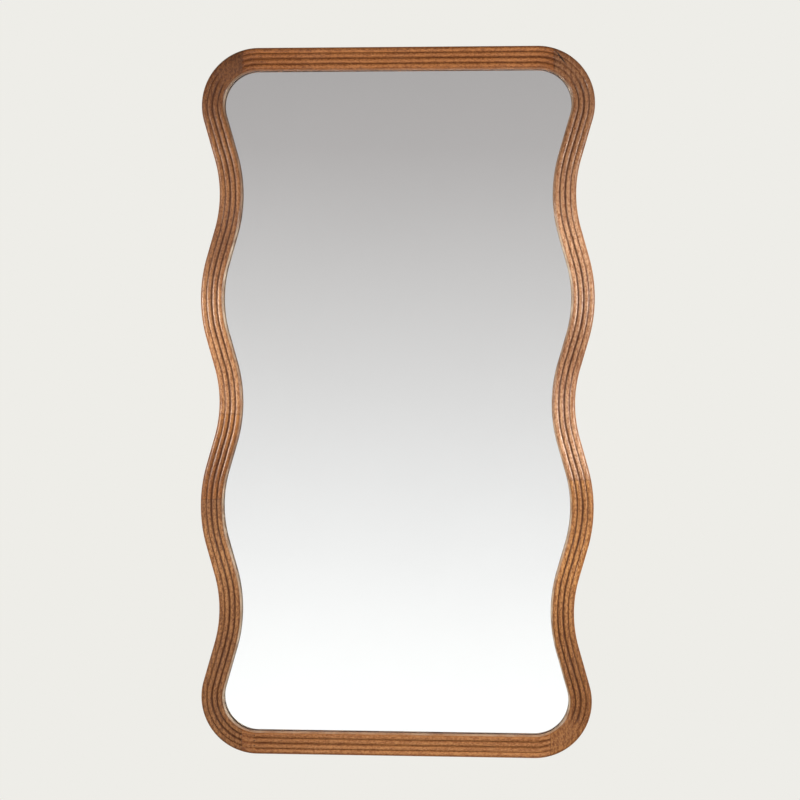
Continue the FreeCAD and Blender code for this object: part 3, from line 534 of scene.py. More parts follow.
def matt_material(name, first, second, scale, roughness, bump, contrast=0.5,
                  grain_stretch=(1.0, 1.0, 1.0), dust=0.05):
    """A matt finish with a grain, such as rubber, foam or pressed fibre."""
    material, tree, shader, place = new_material(name)
    grains = use_group(tree, "Speckle", Vector=stretch(tree, place, grain_stretch),
                       First=rgba(first), Second=rgba(second), Scale=scale,
                       Contrast=contrast)
    colour_with_dust(tree, shader, place, grains["Color"], roughness, dust)
    emboss(tree, shader, grains["Height"], bump, 0.6)
    return material


def scaled_colour(colour, factor):
    """A colour made darker or lighter."""
    return tuple(min(1.0, part * factor) for part in colour)


def dress(node, material):
    """Gives a CAD node its finish."""
    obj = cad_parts[node]
    obj.data.materials.clear()
    obj.data.materials.append(material)
    return obj


# The moulding's line and section

ARC_STEP = 0.0004        # distance between two points of the line
CUT_REACH = 0.06         # how far from a joint its cut is looked for
REEDS = 4                # reeds side by side
REED_STEPS = 14          # rows of the mesh over one reed
ROW_GATHER = 0.55        # how much those rows gather at the reed's feet
CREST_FALL = 1.8         # how fast the crest's share falls off beside it
SHADE_AND_STAIN_CORE = 0.0014      # half the width of a groove's darkest strip
SHADE_AND_STAIN_FADE = 0.0034      # distance over which the groove's stain and painted shade fade out beside it
EDGE_SHADE_AND_STAIN = 0.35        # share of the groove's stain and painted shade at the two outer feet of the reeds
CRISP = 0.0004           # distance of the points that keep an edge crisp


class Moulding:
    """The line along the middle of the moulding, clockwise from the middle of the top rail."""

    def __init__(self, s):
        # From the middle to a corner a side goes in and out three times by the waves'
        # depth. What the corner and these slanted runs leave of half the height is
        # shared out among the arcs, which all have the same radius.
        half = s.member_width / 2
        self.half = half
        lean, slope = s.wave_lean, math.tan(s.wave_lean / 2)
        fixed = s.corner_radius + (s.corner_radius - half) * slope
        fixed += (3 * s.wave_depth - s.corner_inset) / math.tan(lean)
        bend = (s.height / 2 - fixed) / (5 * slope)
        pitch = 2 * bend * slope + s.wave_depth / math.tan(lean)
        corner_x = s.width / 2 - s.corner_inset - s.corner_radius
        corner_z = s.height / 2 - s.corner_radius
        turn = s.corner_radius - half
        arcs = [(corner_x, corner_z, turn, math.pi / 2, -lean, 1.0)]
        for step in (2, 1, 0, -1, -2):
            if step % 2:
                arcs.append((s.width / 2 - bend - half, step * pitch, bend, lean, -lean,
                             1.0))
            else:
                arcs.append((s.width / 2 - s.wave_depth + bend - half, step * pitch,
                             bend, math.pi - lean, math.pi + lean, -1.0))
        arcs.append((corner_x, -corner_z, turn, lean, -math.pi / 2, 1.0))
        right = [self.arc_points(*arc) for arc in arcs]
        right = np.vstack(right)
        left = right[::-1] * np.array([-1.0, 1.0, -1.0, 1.0])
        start = np.array([[0.0, s.height / 2 - half, 0.0, 1.0]])
        rows = np.vstack([start, right, left, start])
        lengths = np.hypot(np.diff(rows[:, 0]), np.diff(rows[:, 1]))
        keep = np.concatenate([[True], lengths > 1e-7])
        rows = rows[keep]
        steps = np.hypot(np.diff(rows[:, 0]), np.diff(rows[:, 1]))
        self.run = np.concatenate([[0.0], np.cumsum(steps)])
        self.rows = rows
        self.total = self.run[-1]

    @staticmethod
    def arc_points(x, z, radius, first, last, outward):
        """Points and outward directions along one arc."""
        count = max(4, int(abs(last - first) * radius / ARC_STEP))
        angle = np.linspace(first, last, count)
        cos, sin = np.cos(angle), np.sin(angle)
        return np.column_stack([x + radius * cos, z + radius * sin, outward * cos,
                                outward * sin])

    def place(self, run, inset):
        """X and Z at a length along the line and an inset from the outer edge."""
        run = np.mod(run, self.total)
        x, z, nx, nz = (np.interp(run, self.run, self.rows[:, i]) for i in range(4))
        offset = self.half - inset
        return x + offset * nx, z + offset * nz

    def near(self, axis, value, other_sign):
        """Length along the line where it crosses a level on one side of the middle."""
        along, across = self.rows[:, axis], self.rows[:, 1 - axis]
        gap = np.abs(along - value) + np.where(across * other_sign > 0, 0.0, self.total)
        return self.run[np.argmin(gap)]

    def cut(self, axis, value, near, insets):
        """Length at which each inset's line crosses the joint's plane."""
        found = []
        for inset in insets:
            window = near + np.linspace(-CUT_REACH, CUT_REACH, 1201)
            level = self.place(window, np.full(window.shape, inset))[axis]
            order = np.argsort(level)
            found.append(np.interp(value, level[order], window[order]))
        return np.array(found)


def reed_feet(s):
    """Inset and height over the back of the feet of the four reeds, outer edge first."""
    front = s.depth - s.reed_height
    inner = s.member_width - s.bevel_width
    pitch = inner / REEDS
    between_reeds = [(reed * pitch, front) for reed in range(1, REEDS)]
    return [(0.0, front - s.outer_drop)] + between_reeds + [(inner, front - s.inner_drop)]


def section(s):
    """The moulding's outline as rows of inset, height, groove share and crest share."""
    feet = reed_feet(s)
    rows = []
    for reed, ((u0, h0), (u1, h1)) in enumerate(zip(feet, feet[1:])):
        chord = math.hypot(u1 - u0, h1 - h0)
        radius = (chord ** 2 / 4 + s.reed_height ** 2) / (2 * s.reed_height)
        half_angle = math.asin(chord / 2 / radius)
        lean = math.atan2(h1 - h0, u1 - u0)
        mid_u = (u0 + u1) / 2 + math.sin(lean) * (radius - s.reed_height)
        mid_h = (h0 + h1) / 2 - math.cos(lean) * (radius - s.reed_height)
        is_last = reed == REEDS - 1
        for step in range(REED_STEPS + is_last):
            part = step / REED_STEPS
            eased = 0.5 - 0.5 * math.cos(math.pi * part)
            part = ROW_GATHER * eased + (1 - ROW_GATHER) * part
            angle = half_angle * (1 - 2 * part)
            u = mid_u - radius * math.sin(angle - lean)
            h = mid_h + radius * math.cos(angle - lean)
            reach = min(part, 1 - part) * chord
            at_edge = (reed == 0 and part < 0.5) or (is_last and part > 0.5)
            # The groove share: stain gathered there and painted shade, less at the outer feet
            spread = min(1.0, max(0.0, (reach - SHADE_AND_STAIN_CORE) / SHADE_AND_STAIN_FADE))
            groove = 1 - spread * spread * (3 - 2 * spread)
            rows.append((u, h, groove * (EDGE_SHADE_AND_STAIN if at_edge else 1.0),
                         math.cos(angle * CREST_FALL)))
    rows += [(u, h, 0.0, 0.0) for u, h in hidden_outline(s, feet)]
    return np.array(rows)


def hidden_outline(s, feet):
    """The inner edge, both rebates, the back and the outer side, as insets and heights.
    Points in the middle of the longer faces keep the mesh's cells even."""
    rail, lip = s.member_width, s.member_width - s.lip_width
    ledge = lip - s.ledge_width
    glass, board, bevel = s.glass_ledge, s.board_ledge, feet[-1][1] - s.bevel_depth
    wall_middle, lip_middle, ledge_middle, arris = 0.0188, 0.0108, 0.0032, 0.0005
    inside = [(rail - CRISP / 2, bevel + CRISP / 2), (rail, bevel - CRISP),
              (rail, wall_middle), (rail, glass + CRISP), (rail - CRISP, glass),
              (rail - s.lip_width / 2, glass), (lip, glass), (lip, lip_middle),
              (lip, board + CRISP), (lip - CRISP, board), (lip - s.ledge_width / 2, board),
              (ledge, board), (ledge, ledge_middle), (ledge, arris), (ledge - arris, 0.0),
              (ledge - s.ledge_width, 0.0), (ledge - 2 * s.ledge_width, 0.0)]
    for step in range(5):
        angle = math.pi / 2 * step / 4
        inside.append((s.edge_ease * (1 - math.sin(angle)),
                       s.edge_ease * (1 - math.cos(angle))))
    inside += [(0.0, s.depth * part) for part in (0.2, 0.4, 0.6)]
    inside.append((0.0, feet[0][1] - 0.0010))
    return inside


def outward_normals(outline):
    """Outward directions of a closed outline's corners."""
    before, after = np.roll(outline, 1, axis=0), np.roll(outline, -1, axis=0)
    first, second = outline - before, after - outline
    first /= np.maximum(np.linalg.norm(first, axis=1, keepdims=True), 1e-9)
    second /= np.maximum(np.linalg.norm(second, axis=1, keepdims=True), 1e-9)
    along = first + second
    along /= np.maximum(np.linalg.norm(along, axis=1, keepdims=True), 1e-9)
    normals = np.column_stack([-along[:, 1], along[:, 0]])
    area = np.sum(outline[:, 0] * np.roll(outline[:, 1], -1)
                  - np.roll(outline[:, 0], -1) * outline[:, 1])
    return normals if area < 0 else -normals


def waves(run, seed, lengths, amount):
    """A smooth value that wanders along the moulding, the same each time."""
    rng = np.random.RandomState(seed)
    total = np.zeros(np.shape(run))
    for length in lengths:
        phase = rng.uniform(0, 2 * math.pi)
        total += np.sin(run * 2 * math.pi / length + phase)
    return total * amount / math.sqrt(len(lengths))


def smooth_step(value, low, high):
    """Nothing below the low value, one above the high one, and smooth between."""
    part = np.clip((value - low) / (high - low), 0.0, 1.0)
    return part * part * (3 - 2 * part)


def plain_share(run, places):
    """How far the reeds are left uncut near the corners, along the moulding."""
    found = np.zeros(np.shape(run))
    for start, end, ease_in, ease_out, amount in places:
        bump = smooth_step(run, start, start + ease_in)
        bump *= 1 - smooth_step(run, end - ease_out, end)
        found = np.maximum(found, bump * amount)
    return found


# The boards

# The colours of each board's light and dark grain
BOARD_COLOURS = {
    "top_rail": ("BA7842", "80471E"),
    "bottom_rail": ("C28550", "8C5227"),
    "left_side_upper": ("CC9260", "8A5228"),
    "left_side_middle": ("C88749", "874D1E"),
    "left_side_lower": ("C68E5A", "7E4A23"),
    "right_side_upper": ("CE9A70", "8F5730"),
    "right_side_lower": ("C88B50", "80481A"),
}

# Where in the log each board's grain comes from
LOG_PLACES = {
    "top_rail": (0.31, 0.07, 1.9),
    "bottom_rail": (0.83, 0.19, 0.4),
    "left_side_upper": (1.40, 0.33, 0.2),
    "left_side_middle": (2.20, 0.41, 1.1),
    "left_side_lower": (2.90, 0.57, 2.3),
    "right_side_upper": (3.70, 0.61, 0.9),
    "right_side_lower": (4.60, 0.77, 1.7),
}

# How light each board is along its length, its own tone with painted light and shade: pairs
# of place and share, the place being a height on the sides and a distance from the middle on the
# rails
BOARD_TONE_AND_LIGHT = {
    "left_side_upper": [(-0.03, 0.74), (0.12, 0.75), (0.26, 0.66), (0.33, 0.48),
                        (0.41, 0.34), (0.53, 0.46), (0.65, 0.44), (0.78, 0.26),
                        (0.90, 0.15)],
    "left_side_middle": [(-0.27, 0.48), (-0.14, 0.42), (-0.03, 0.66)],
    "left_side_lower": [(-0.90, 0.44), (-0.77, 0.40), (-0.62, 0.43), (-0.52, 0.52),
                        (-0.41, 0.66), (-0.265, 0.47)],
    "right_side_upper": [(-0.20, 0.62), (-0.17, 0.8), (-0.13, 0.95), (-0.01, 0.80),
                         (0.12, 0.55), (0.26, 0.70), (0.41, 0.92), (0.52, 0.62),
                         (0.65, 0.45), (0.78, 0.36), (0.90, 0.33)],
    "right_side_lower": [(-0.90, 0.54), (-0.77, 0.46), (-0.65, 0.49), (-0.53, 0.66),
                         (-0.41, 0.86), (-0.265, 0.68), (-0.19, 0.85)],
    "top_rail": [(-0.394, 0.36), (-0.34, 0.53), (-0.15, 0.64), (0.33, 0.67),
                 (0.394, 0.50)],
    "bottom_rail": [(-0.394, 0.47), (-0.33, 0.54), (-0.15, 0.66), (0.35, 0.71),
                    (0.394, 0.66)],
}

# The seed of each board's small unevenness, in the order in which they are built
BOARD_SEEDS = {
    "left_side_upper": 11, "left_side_middle": 23, "left_side_lower": 37,
    "right_side_upper": 41, "right_side_lower": 53, "top_rail": 67, "bottom_rail": 79}

# How far the stain is rubbed off the inner edge and a painted highlight lies on it, most at the
# side lamps' height, as pairs of height and share
LEFT_RUBBED_AND_LIT = [(-0.86, 0.25), (-0.80, 0.8), (-0.30, 0.75), (-0.10, 0.3), (0.08, 0.45),
               (0.18, 1.0), (0.39, 1.0), (0.46, 0.35), (0.70, 0.15), (0.78, 0.5),
               (0.86, 0.05)]
RIGHT_RUBBED_AND_LIT = [(-0.86, 0.25), (-0.80, 0.8), (-0.30, 0.75), (0.0, 0.3), (0.18, 0.45),
                (0.26, 1.0), (0.41, 1.0), (0.48, 0.3), (0.70, 0.15), (0.78, 0.5),
                (0.86, 0.05)]

# Knots and one crack: middle, reach, turn and colour of each
KNOT_COLOUR = "4A2A16"
CRACK_COLOUR = "1A0F09"
CRACK_TURN = math.radians(37.0)
KNOTS = {
    "right_side_upper": [
        ((0.4725, -0.033, 0.1085), (0.0045, 0.02, 0.0065), 0.0, KNOT_COLOUR),
        ((0.4115, -0.033, 0.8695), (0.0030, 0.03, 0.0300), CRACK_TURN, CRACK_COLOUR)],
    "bottom_rail": [
        ((-0.3605, -0.033, level), (0.0026, 0.02, 0.0022), 0.0, KNOT_COLOUR)
        for level in (-0.852, -0.865, -0.878)],
}

# Stretches where the reeds are left uncut: the number of the joint, the start and end
# measured from it, the lengths of the fades at both ends, and how far they are uncut
UNCUT_STRETCHES = [
    (6, -0.090, 0.006, 0.040, 0.010, 1.0),
    (0, 0.002, 0.100, 0.015, 0.030, 0.45),
    (2, -0.110, 0.004, 0.045, 0.008, 0.85),
    (3, -0.038, 0.001, 0.006, 0.001, 0.6)]
UNCUT_MIDDLE = 0.028     # inset of an uncut stretch's highest line
UNCUT_FALL = 0.0060      # fall of an uncut stretch towards its edges

JOINT_GAP = 0.00002      # space left at each board's end
END_ROWS = (0.0, 0.00025, 0.0007, 0.0018)     # distances of the end's rows from it
END_EASE = (1.0, 0.3, 0.05)                   # share of the easing at those rows
FIRST_ROW = 0.0042       # distance of the first even row from the end
JOINT_SHADE = 0.35       # how much darker the wood is beside a joint
SHADE_REACH = 0.0016     # reach of that darker strip

# The unevenness of handwork: lengths of its waves, and how far it goes
DRIFT = ((0.31, 0.11, 0.043), 0.00010)
CHATTER = ((0.021, 0.034, 0.057), 0.00005)
WANDER = ((0.27, 0.09), 0.00016)


def build_member(name, start, end, moulding, s, outline, uncut_places):
    """Makes the mesh of one board along the moulding, between two joints."""
    insets, heights = outline[:, 0], outline[:, 1]
    normals = outward_normals(outline[:, :2].copy())
    first = moulding.cut(*start, insets) + JOINT_GAP
    last = moulding.cut(*end, insets) - JOINT_GAP
    length = float(np.mean(last - first))
    ends = np.array(END_ROWS) / length
    inner = np.linspace(FIRST_ROW / length, 1 - FIRST_ROW / length,
                        int(length / s.station))
    parts = np.concatenate([ends, inner, 1 - ends[::-1]])
    recess = np.zeros(len(parts))
    recess[:3] = s.joint_ease * np.array(END_EASE)
    recess[-3:] = recess[:3][::-1]
    run = first[None, :] + parts[:, None] * (last - first)[None, :]
    middle = run.mean(axis=1)
    plain = plain_share(middle, uncut_places)[:, None]
    groove, crest = outline[:, 2][None, :], outline[:, 3][None, :]
    is_front = (outline[:, 3] != 0.0) | (outline[:, 2] != 0.0)
    uncut = s.depth - UNCUT_FALL * np.abs((insets - UNCUT_MIDDLE) / UNCUT_MIDDLE) ** 4
    filled = np.where(is_front, np.maximum(uncut, heights), heights)[None, :]
    height = heights[None, :] * (1 - plain) + filled * plain
    seed = BOARD_SEEDS[name]
    drift = waves(middle, seed, *DRIFT)[:, None]
    chatter = waves(middle, seed + 7, *CHATTER)[:, None]
    height = height - np.where(is_front, np.abs(drift + chatter), 0.0)
    shift = waves(middle, seed + 3, *WANDER)[:, None]
    inset = insets[None, :] + np.where(is_front, shift * groove, 0.0)
    inset = inset - normals[None, :, 0] * recess[:, None]
    height = height - normals[None, :, 1] * recess[:, None]
    x, z = moulding.place(run, inset)
    points = np.stack([x, -s.wall_gap - height, z], axis=-1).reshape(-1, 3)
    # Tone along the board: its own lightness with painted light and shade, and darker beside a
    # joint
    tone_and_light = BOARD_TONE_AND_LIGHT[name]
    level = np.interp(x if name.endswith("rail") else z, *zip(*tone_and_light))
    for away in (parts[:, None] * length, (1 - parts[:, None]) * length):
        level = level * (1 - JOINT_SHADE * np.exp(-(away / SHADE_REACH) ** 2))
    # Rubbed stain and a painted bevel highlight, most at the side lamps' height
    rubbed = np.interp(z, *zip(*(RIGHT_RUBBED_AND_LIT if x.mean() > 0 else LEFT_RUBBED_AND_LIT)))
    values = {"groove": groove * (1 - plain),
              "arris": arris_share(s, insets, heights)[None, :] * rubbed,
              "crest": np.broadcast_to(crest, z.shape), "tone": level}
    rows, around = len(parts), len(insets)
    faces = tube_faces(rows, around) + [cap_face(0, around), cap_face(rows - 1, around)]
    return new_mesh(name, points, faces, values)


def arris_share(s, insets, heights):
    """How much of the rubbed edge and painted edge highlight each line of the outline shows:
    all on the bevel, less on the narrow wall that stands on the glass."""
    foot = s.depth - s.reed_height - s.inner_drop - s.bevel_depth - CRISP / 2
    on_bevel = (insets > s.member_width - s.bevel_width - 3 * CRISP) & (heights > foot)
    on_wall = (insets > s.member_width - 2.25 * CRISP) & ~on_bevel
    on_wall &= heights > s.glass_ledge - CRISP / 4
    return on_bevel.astype(float) + 0.8 * on_wall


def tube_faces(rows, around, first=0):
    """The faces between closed rows of points, which are numbered from the first on."""
    faces = []
    for row in range(rows - 1):
        low, high = first + row * around, first + (row + 1) * around
        for col in range(around):
            nxt = (col + 1) % around
            faces.append((low + col, low + nxt, high + nxt, high + col))
    return faces


def cap_face(row, around):
    """The face that closes a tube at one of its rows."""
    return tuple(range(row * around, (row + 1) * around))


def plate_faces(count):
    """The faces of a flat plate: an outline of points on one side, then on the other."""
    faces = [tuple(range(count)), tuple(range(count, 2 * count))]
    for i in range(count):
        nxt = (i + 1) % count
        faces.append((i, nxt, count + nxt, count + i))
    return faces


def new_mesh(name, points, faces, values=None, angle=math.radians(32.0)):
    """An object with a smooth-shaded mesh and point values, its normals facing out."""
    mesh = bpy.data.meshes.new(name)
    mesh.from_pydata([tuple(p) for p in points], [], faces)
    for label, numbers in (values or {}).items():
        mesh.attributes.new(label, "FLOAT", "POINT")
        mesh.attributes[label].data.foreach_set(
            "value", np.ascontiguousarray(numbers, dtype=np.float32).ravel())
    work = bmesh.new()
    work.from_mesh(mesh)
    bmesh.ops.recalc_face_normals(work, faces=work.faces)
    work.to_mesh(mesh)
    work.free()
    mesh.shade_smooth()
    mesh.set_sharp_from_angle(angle=angle)
    obj = bpy.data.objects.new(name, mesh)
    bpy.context.scene.collection.objects.link(obj)
    return obj


# Screws

def ring_points(radius, level, around):
    """A circle of points at one level."""
    angle = np.arange(around) * 2 * math.pi / around
    return np.column_stack([radius * np.cos(angle), radius * np.sin(angle),
                            np.full(around, level)])


def cross_outline(arm, width, level, flare):
    """The twelve corners of a cross, from the first arm's right side."""
    corners = []
    for quarter in range(4):
        turn = quarter * math.pi / 2
        cos, sin = math.cos(turn), math.sin(turn)
        for u, v in ((arm, -width), (arm, width), (width + flare, width + flare)):
            corners.append((u * cos - v * sin, u * sin + v * cos, level))
    return np.array(corners)


class Screw:
    """The shape of a screw: its head as rings of radius and level from the top down, the
    core and crest of its thread, the levels where that starts, narrows and ends in the
    tip, and the reach and depth of the cross in its head."""

    def __init__(self, head, core, crest, top, bottom, tip, arm, recess):
        self.head, self.core, self.crest = head, core, crest
        self.top, self.bottom, self.tip = top, bottom, tip
        self.arm, self.recess = arm, recess


BOARD_SCREW = Screw(
    head=[(0.00338, 0.0), (0.0035, -0.0001), (0.0035, -0.0003), (0.0019, -0.0018),
          (0.00135, -0.0023)],
    core=0.00115, crest=0.00175, top=-0.0024, bottom=-0.0130, tip=-0.0160,
    arm=0.0021, recess=0.0015)
HANGER_SCREW = Screw(
    head=[(0.00255, 0.0), (0.0030, -0.00018), (0.0035, -0.00062), (0.00385, -0.0012),
          (0.0040, -0.0018), (0.0040, -0.0023), (0.0038, -0.0024), (0.0020, -0.0024)],
    core=0.00135, crest=0.0020, top=-0.0026, bottom=-0.0145, tip=-0.0184,
    arm=0.0022, recess=0.0014)
TURN_STEPS = 5           # rings in one turn of a thread
RIDGE_SHARE = 0.28       # half of a ridge's width as a share of the pitch
TIP_SHARES = (0.7, 0.35, 0.08)     # the tip's rings as shares of the core's radius
CROSS_CORNERS = 12


def screw_mesh(screw, pitch, around):
    """Points and faces of one screw along -Z, the top of its head at level nothing."""
    levels = [ring_points(radius, level, around) for radius, level in screw.head]
    angle = np.arange(around) * 2 * math.pi / around
    threaded = screw.bottom - screw.tip
    for level in np.arange(screw.top, screw.bottom, -pitch / TURN_STEPS):
        phase = np.mod(level / pitch - angle / (2 * math.pi), 1.0)
        rise = np.clip(1 - np.abs(phase - 0.5) / RIDGE_SHARE, 0.0, 1.0)
        left = level - screw.tip
        fade = min(1.0, (screw.top - level) / pitch) * min(1.0, left / threaded)
        narrowed = min(1.0, 0.25 + left / (2.2 * screw.core))
        radius = screw.core * narrowed + (screw.crest - screw.core) * rise * fade
        ring = ring_points(1.0, level, around)
        ring[:, :2] *= radius[:, None]
        levels.append(ring)
    for part in TIP_SHARES:
        level = screw.bottom + (screw.tip - screw.bottom) * (1 - part)
        levels.append(ring_points(screw.core * part, level, around))
    # The cross gets narrower as it goes down
    face, arm, width, recess = screw.head[0][1], screw.arm, screw.arm * 0.24, screw.recess
    crosses = [cross_outline(arm, width, face, arm * 0.12),
               cross_outline(arm * 0.86, width * 0.86, face - recess * 0.55, arm * 0.10),
               cross_outline(arm * 0.42, width * 0.6, face - recess, arm * 0.04)]
    floor = [[0.0, 0.0, face - recess * 1.15]]
    points = np.vstack(levels + crosses + [floor])
    base = len(levels) * around
    faces = tube_faces(len(levels), around) + [cap_face(len(levels) - 1, around)]
    faces += tube_faces(len(crosses), CROSS_CORNERS, base)
    inner = base + (len(crosses) - 1) * CROSS_CORNERS
    for col in range(CROSS_CORNERS):
        faces.append((inner + col, inner + (col + 1) % CROSS_CORNERS, inner + CROSS_CORNERS))
    faces += top_faces(points, around, base)
    return points, faces


def top_faces(points, around, base):
    """Faces between the head's first ring and the recess's outline."""
    work = bmesh.new()
    rim = [work.verts.new(points[i]) for i in range(around)]
    hole = [work.verts.new(points[base + i]) for i in range(CROSS_CORNERS)]
    index = {v: i for i, v in enumerate(rim)}
    index.update({v: base + i for i, v in enumerate(hole)})
    edges = [work.edges.new((loop[i], loop[(i + 1) % len(loop)]))
             for loop in (rim, hole) for i in range(len(loop))]
    made = bmesh.ops.triangle_fill(work, edges=edges, use_beauty=True)
    faces = [tuple(index[v] for v in f.verts) for f in made["geom"]
             if isinstance(f, bmesh.types.BMFace)]
    work.free()
    if not faces:
        raise RuntimeError("the screw head's top could not be filled")
    return faces


def many_screws(name, template, places):
    """One object with a screw at each place. A place is a point and a turn of its slot."""
    points, faces = template
    all_points, all_faces = [], []
    for number, (place, turn) in enumerate(places):
        cos, sin = math.cos(turn), math.sin(turn)
        x = points[:, 0] * cos - points[:, 1] * sin
        z = points[:, 0] * sin + points[:, 1] * cos
        moved = np.column_stack([x, points[:, 2], z]) + np.array(place)
        all_points.append(moved)
        shift = number * len(points)
        all_faces += [tuple(i + shift for i in f) for f in faces]
    return new_mesh(name, np.vstack(all_points), all_faces, angle=math.radians(40.0))


# Operators

class MIRROR_OT_frame(bpy.types.Operator):
    """Build the seven boards of the reeded frame"""
    bl_idname = "wall_mirror.build_frame"
    bl_label = "Wooden frame"

    def execute(self, context):
        s = context.scene.mirror_frame
        moulding = Moulding(s)
        outline = section(s)
        joints = [(0, s.rail_joint, 1), (1, s.right_joint, 1), (0, s.rail_joint, -1),
                  (0, -s.rail_joint, -1), (1, s.left_lower_joint, -1),
                  (1, s.left_upper_joint, -1), (0, -s.rail_joint, 1)]
        cuts = [(axis, value, moulding.near(axis, value, side))
                for axis, value, side in joints]
        uncut_places = [(cuts[joint][2] + start, cuts[joint][2] + end, ease_in, ease_out,
                         amount)
                        for joint, start, end, ease_in, ease_out, amount in UNCUT_STRETCHES]
        wrapped = (cuts[0][0], cuts[0][1], cuts[0][2] + moulding.total)
        ends = {"left_side_upper": (cuts[5], cuts[6]),
                "left_side_middle": (cuts[4], cuts[5]),
                "left_side_lower": (cuts[3], cuts[4]),
                "right_side_upper": (cuts[0], cuts[1]),
                "right_side_lower": (cuts[1], cuts[2]),
                "top_rail": (cuts[6], wrapped),
                "bottom_rail": (cuts[2], cuts[3])}
        for name in BOARD_SEEDS:
            piece = build_member(name, *ends[name], moulding, s, outline, uncut_places)
            piece.name = name + "_board"
            piece.data.materials.append(wood_material(
                name + " wood", *BOARD_COLOURS[name], s, name.endswith("rail"),
                LOG_PLACES[name], KNOTS.get(name, ())))
            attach(piece, "mirror")
            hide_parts(name)
        return {"FINISHED"}


class MIRROR_OT_dowels(bpy.types.Operator):
    """Finish the dowels inside the joints of the frame"""
    bl_idname = "wall_mirror.build_dowels"
    bl_label = "Dowels"

    def execute(self, context):
        material, tree, shader, place = new_material("Bare beech")
        grain = use_group(tree, "Wood grain", Vector=place, Light=rgba(linear("D9BC8C")),
                          Dark=rgba(linear("C09B66")), Pore=rgba(linear("8A6238")),
                          Figure=0.4, Speckle=0.4)
        wire(tree, shader, Base_Color=grain["Color"], Roughness=grain["Roughness"])
        emboss(tree, shader, grain["Height"], 0.0001, 0.5)
        for name in sorted(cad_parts):
            if name.startswith("dowels_"):
                dress(name, material)
        return {"FINISHED"}


class MIRROR_OT_glass(bpy.types.Operator):
    """Finish the glass and lay the silvering on its back"""
    bl_idname = "wall_mirror.build_glass"
    bl_label = "Mirror glass"

    def execute(self, context):
        s, m = context.scene.mirror_frame, context.scene.mirror_glass
        glass, tree, shader, place = new_material("Polished glass")
        colour_with_dust(tree, shader, place, rgba(m.glass), 0.0, 0.01)
        wire(tree, shader, Transmission_Weight=1.0, IOR=1.5)
        dress("mirror_glass", glass)
        moulding = Moulding(s)
        step = 0.004
        run = np.arange(0.0, moulding.total - step / 2, step)
        inset = np.full(run.shape, m.glass_inset + m.silver_rim)
        x, z = moulding.place(run, inset)
        back = GLASS_BOX[1][1] - m.silver_depth
        count = len(run)
        layers = [np.column_stack([x, np.full(count, y), z])
                  for y in (back, back - m.silver_thickness)]
        silver = new_mesh("silvering", np.vstack(layers), plate_faces(count))
        coat, tree, shader, place = new_material("Silvering")
        shade = between(tree, noise(tree, place, 3.0, 3.0), 0.3, 0.7, 0.985, 1.0)
        colour = blend(tree, 1.0, rgba(m.silver), grey(tree, shade), "MULTIPLY")
        haze = between(tree, noise(tree, place, 40.0, 4.0), 0.5, 0.9, 0.0, 0.01)
        wire(tree, shader, Base_Color=colour, Roughness=haze, Metallic=1.0)
        silver.data.materials.append(coat)
        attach(silver, "mirror")
        return {"FINISHED"}


class MIRROR_OT_backing(bpy.types.Operator):
    """Finish the tape, blocks, film, foam and board behind the glass"""
    bl_idname = "wall_mirror.build_backing"
    bl_label = "Backing layers"

    def execute(self, context):
        m = context.scene.mirror_glass
        black = linear("1B1B1B")
        # Node, finish, first colour, share of it in the second, grain's scale, roughness,
        # height of the grain, and slot
        layers = [
            ("glazing_tape", "Black foam tape", black, 1.8, 900.0, 0.9, 0.0001,
             "black_foam_tape"),
            ("setting_blocks", "Black rubber", black, 1.6, 300.0, 0.6, 0.00005,
             "black_rubber"),
            ("safety_film", "Clear film", m.film, 0.92, 30.0, 0.35, 0.00002, "clear_film"),
            ("foam_sheet", "White foam", m.foam, 0.9, 500.0, 0.85, 0.0001, "white_foam")]
        for node, finish, colour, second, scale, roughness, grain_height, slot in layers:
            dress(node, matt_material(finish, colour, scaled_colour(colour, second), scale,
                                      roughness, grain_height))
        fibre = matt_material("Fibreboard", m.board, scaled_colour(m.board, 0.68), 90.0,
                              0.72, 0.00012, contrast=0.9, grain_stretch=(1.0, 1.0, 0.6),
                              dust=0.10)
        dress("backing_board", fibre)
        return {"FINISHED"}


class MIRROR_OT_board_screws(bpy.types.Operator):
    """Drive the countersunk screws of the backing board"""
    bl_idname = "wall_mirror.build_board_screws"
    bl_label = "Board screws"

    def execute(self, context):
        h = context.scene.mirror_hardware
        s = context.scene.mirror_frame
        template = screw_mesh(BOARD_SCREW, h.thread_pitch, h.around)
        top = BOARD_BOX[1][1]
        line = s.member_width - s.lip_width - s.ledge_width / 2
        moulding = Moulding(s)
        rng = np.random.RandomState(5)
        places = []
        for side in (-1, 1):
            for level in (np.arange(8) - 3.5) * h.screw_spacing:
                near = moulding.near(1, level, side)
                run = moulding.cut(1, level, near, [line])[0]
                x, z = moulding.place(np.array([run]), np.array([line]))
                places.append(((x[0], top, z[0]), rng.uniform(0, math.pi)))
            for across in (np.arange(4) - 1.5) * h.screw_spacing:
                level = side * (s.height / 2 - line)
                places.append(((across, top, level), rng.uniform(0, math.pi)))
        screws = many_screws("board_screws", template, places)
        screws.data.materials.append(metal_material("Yellow zinc", h.zinc, 0.34))
        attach(screws, "mirror")
        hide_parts("backing_screws")
        return {"FINISHED"}


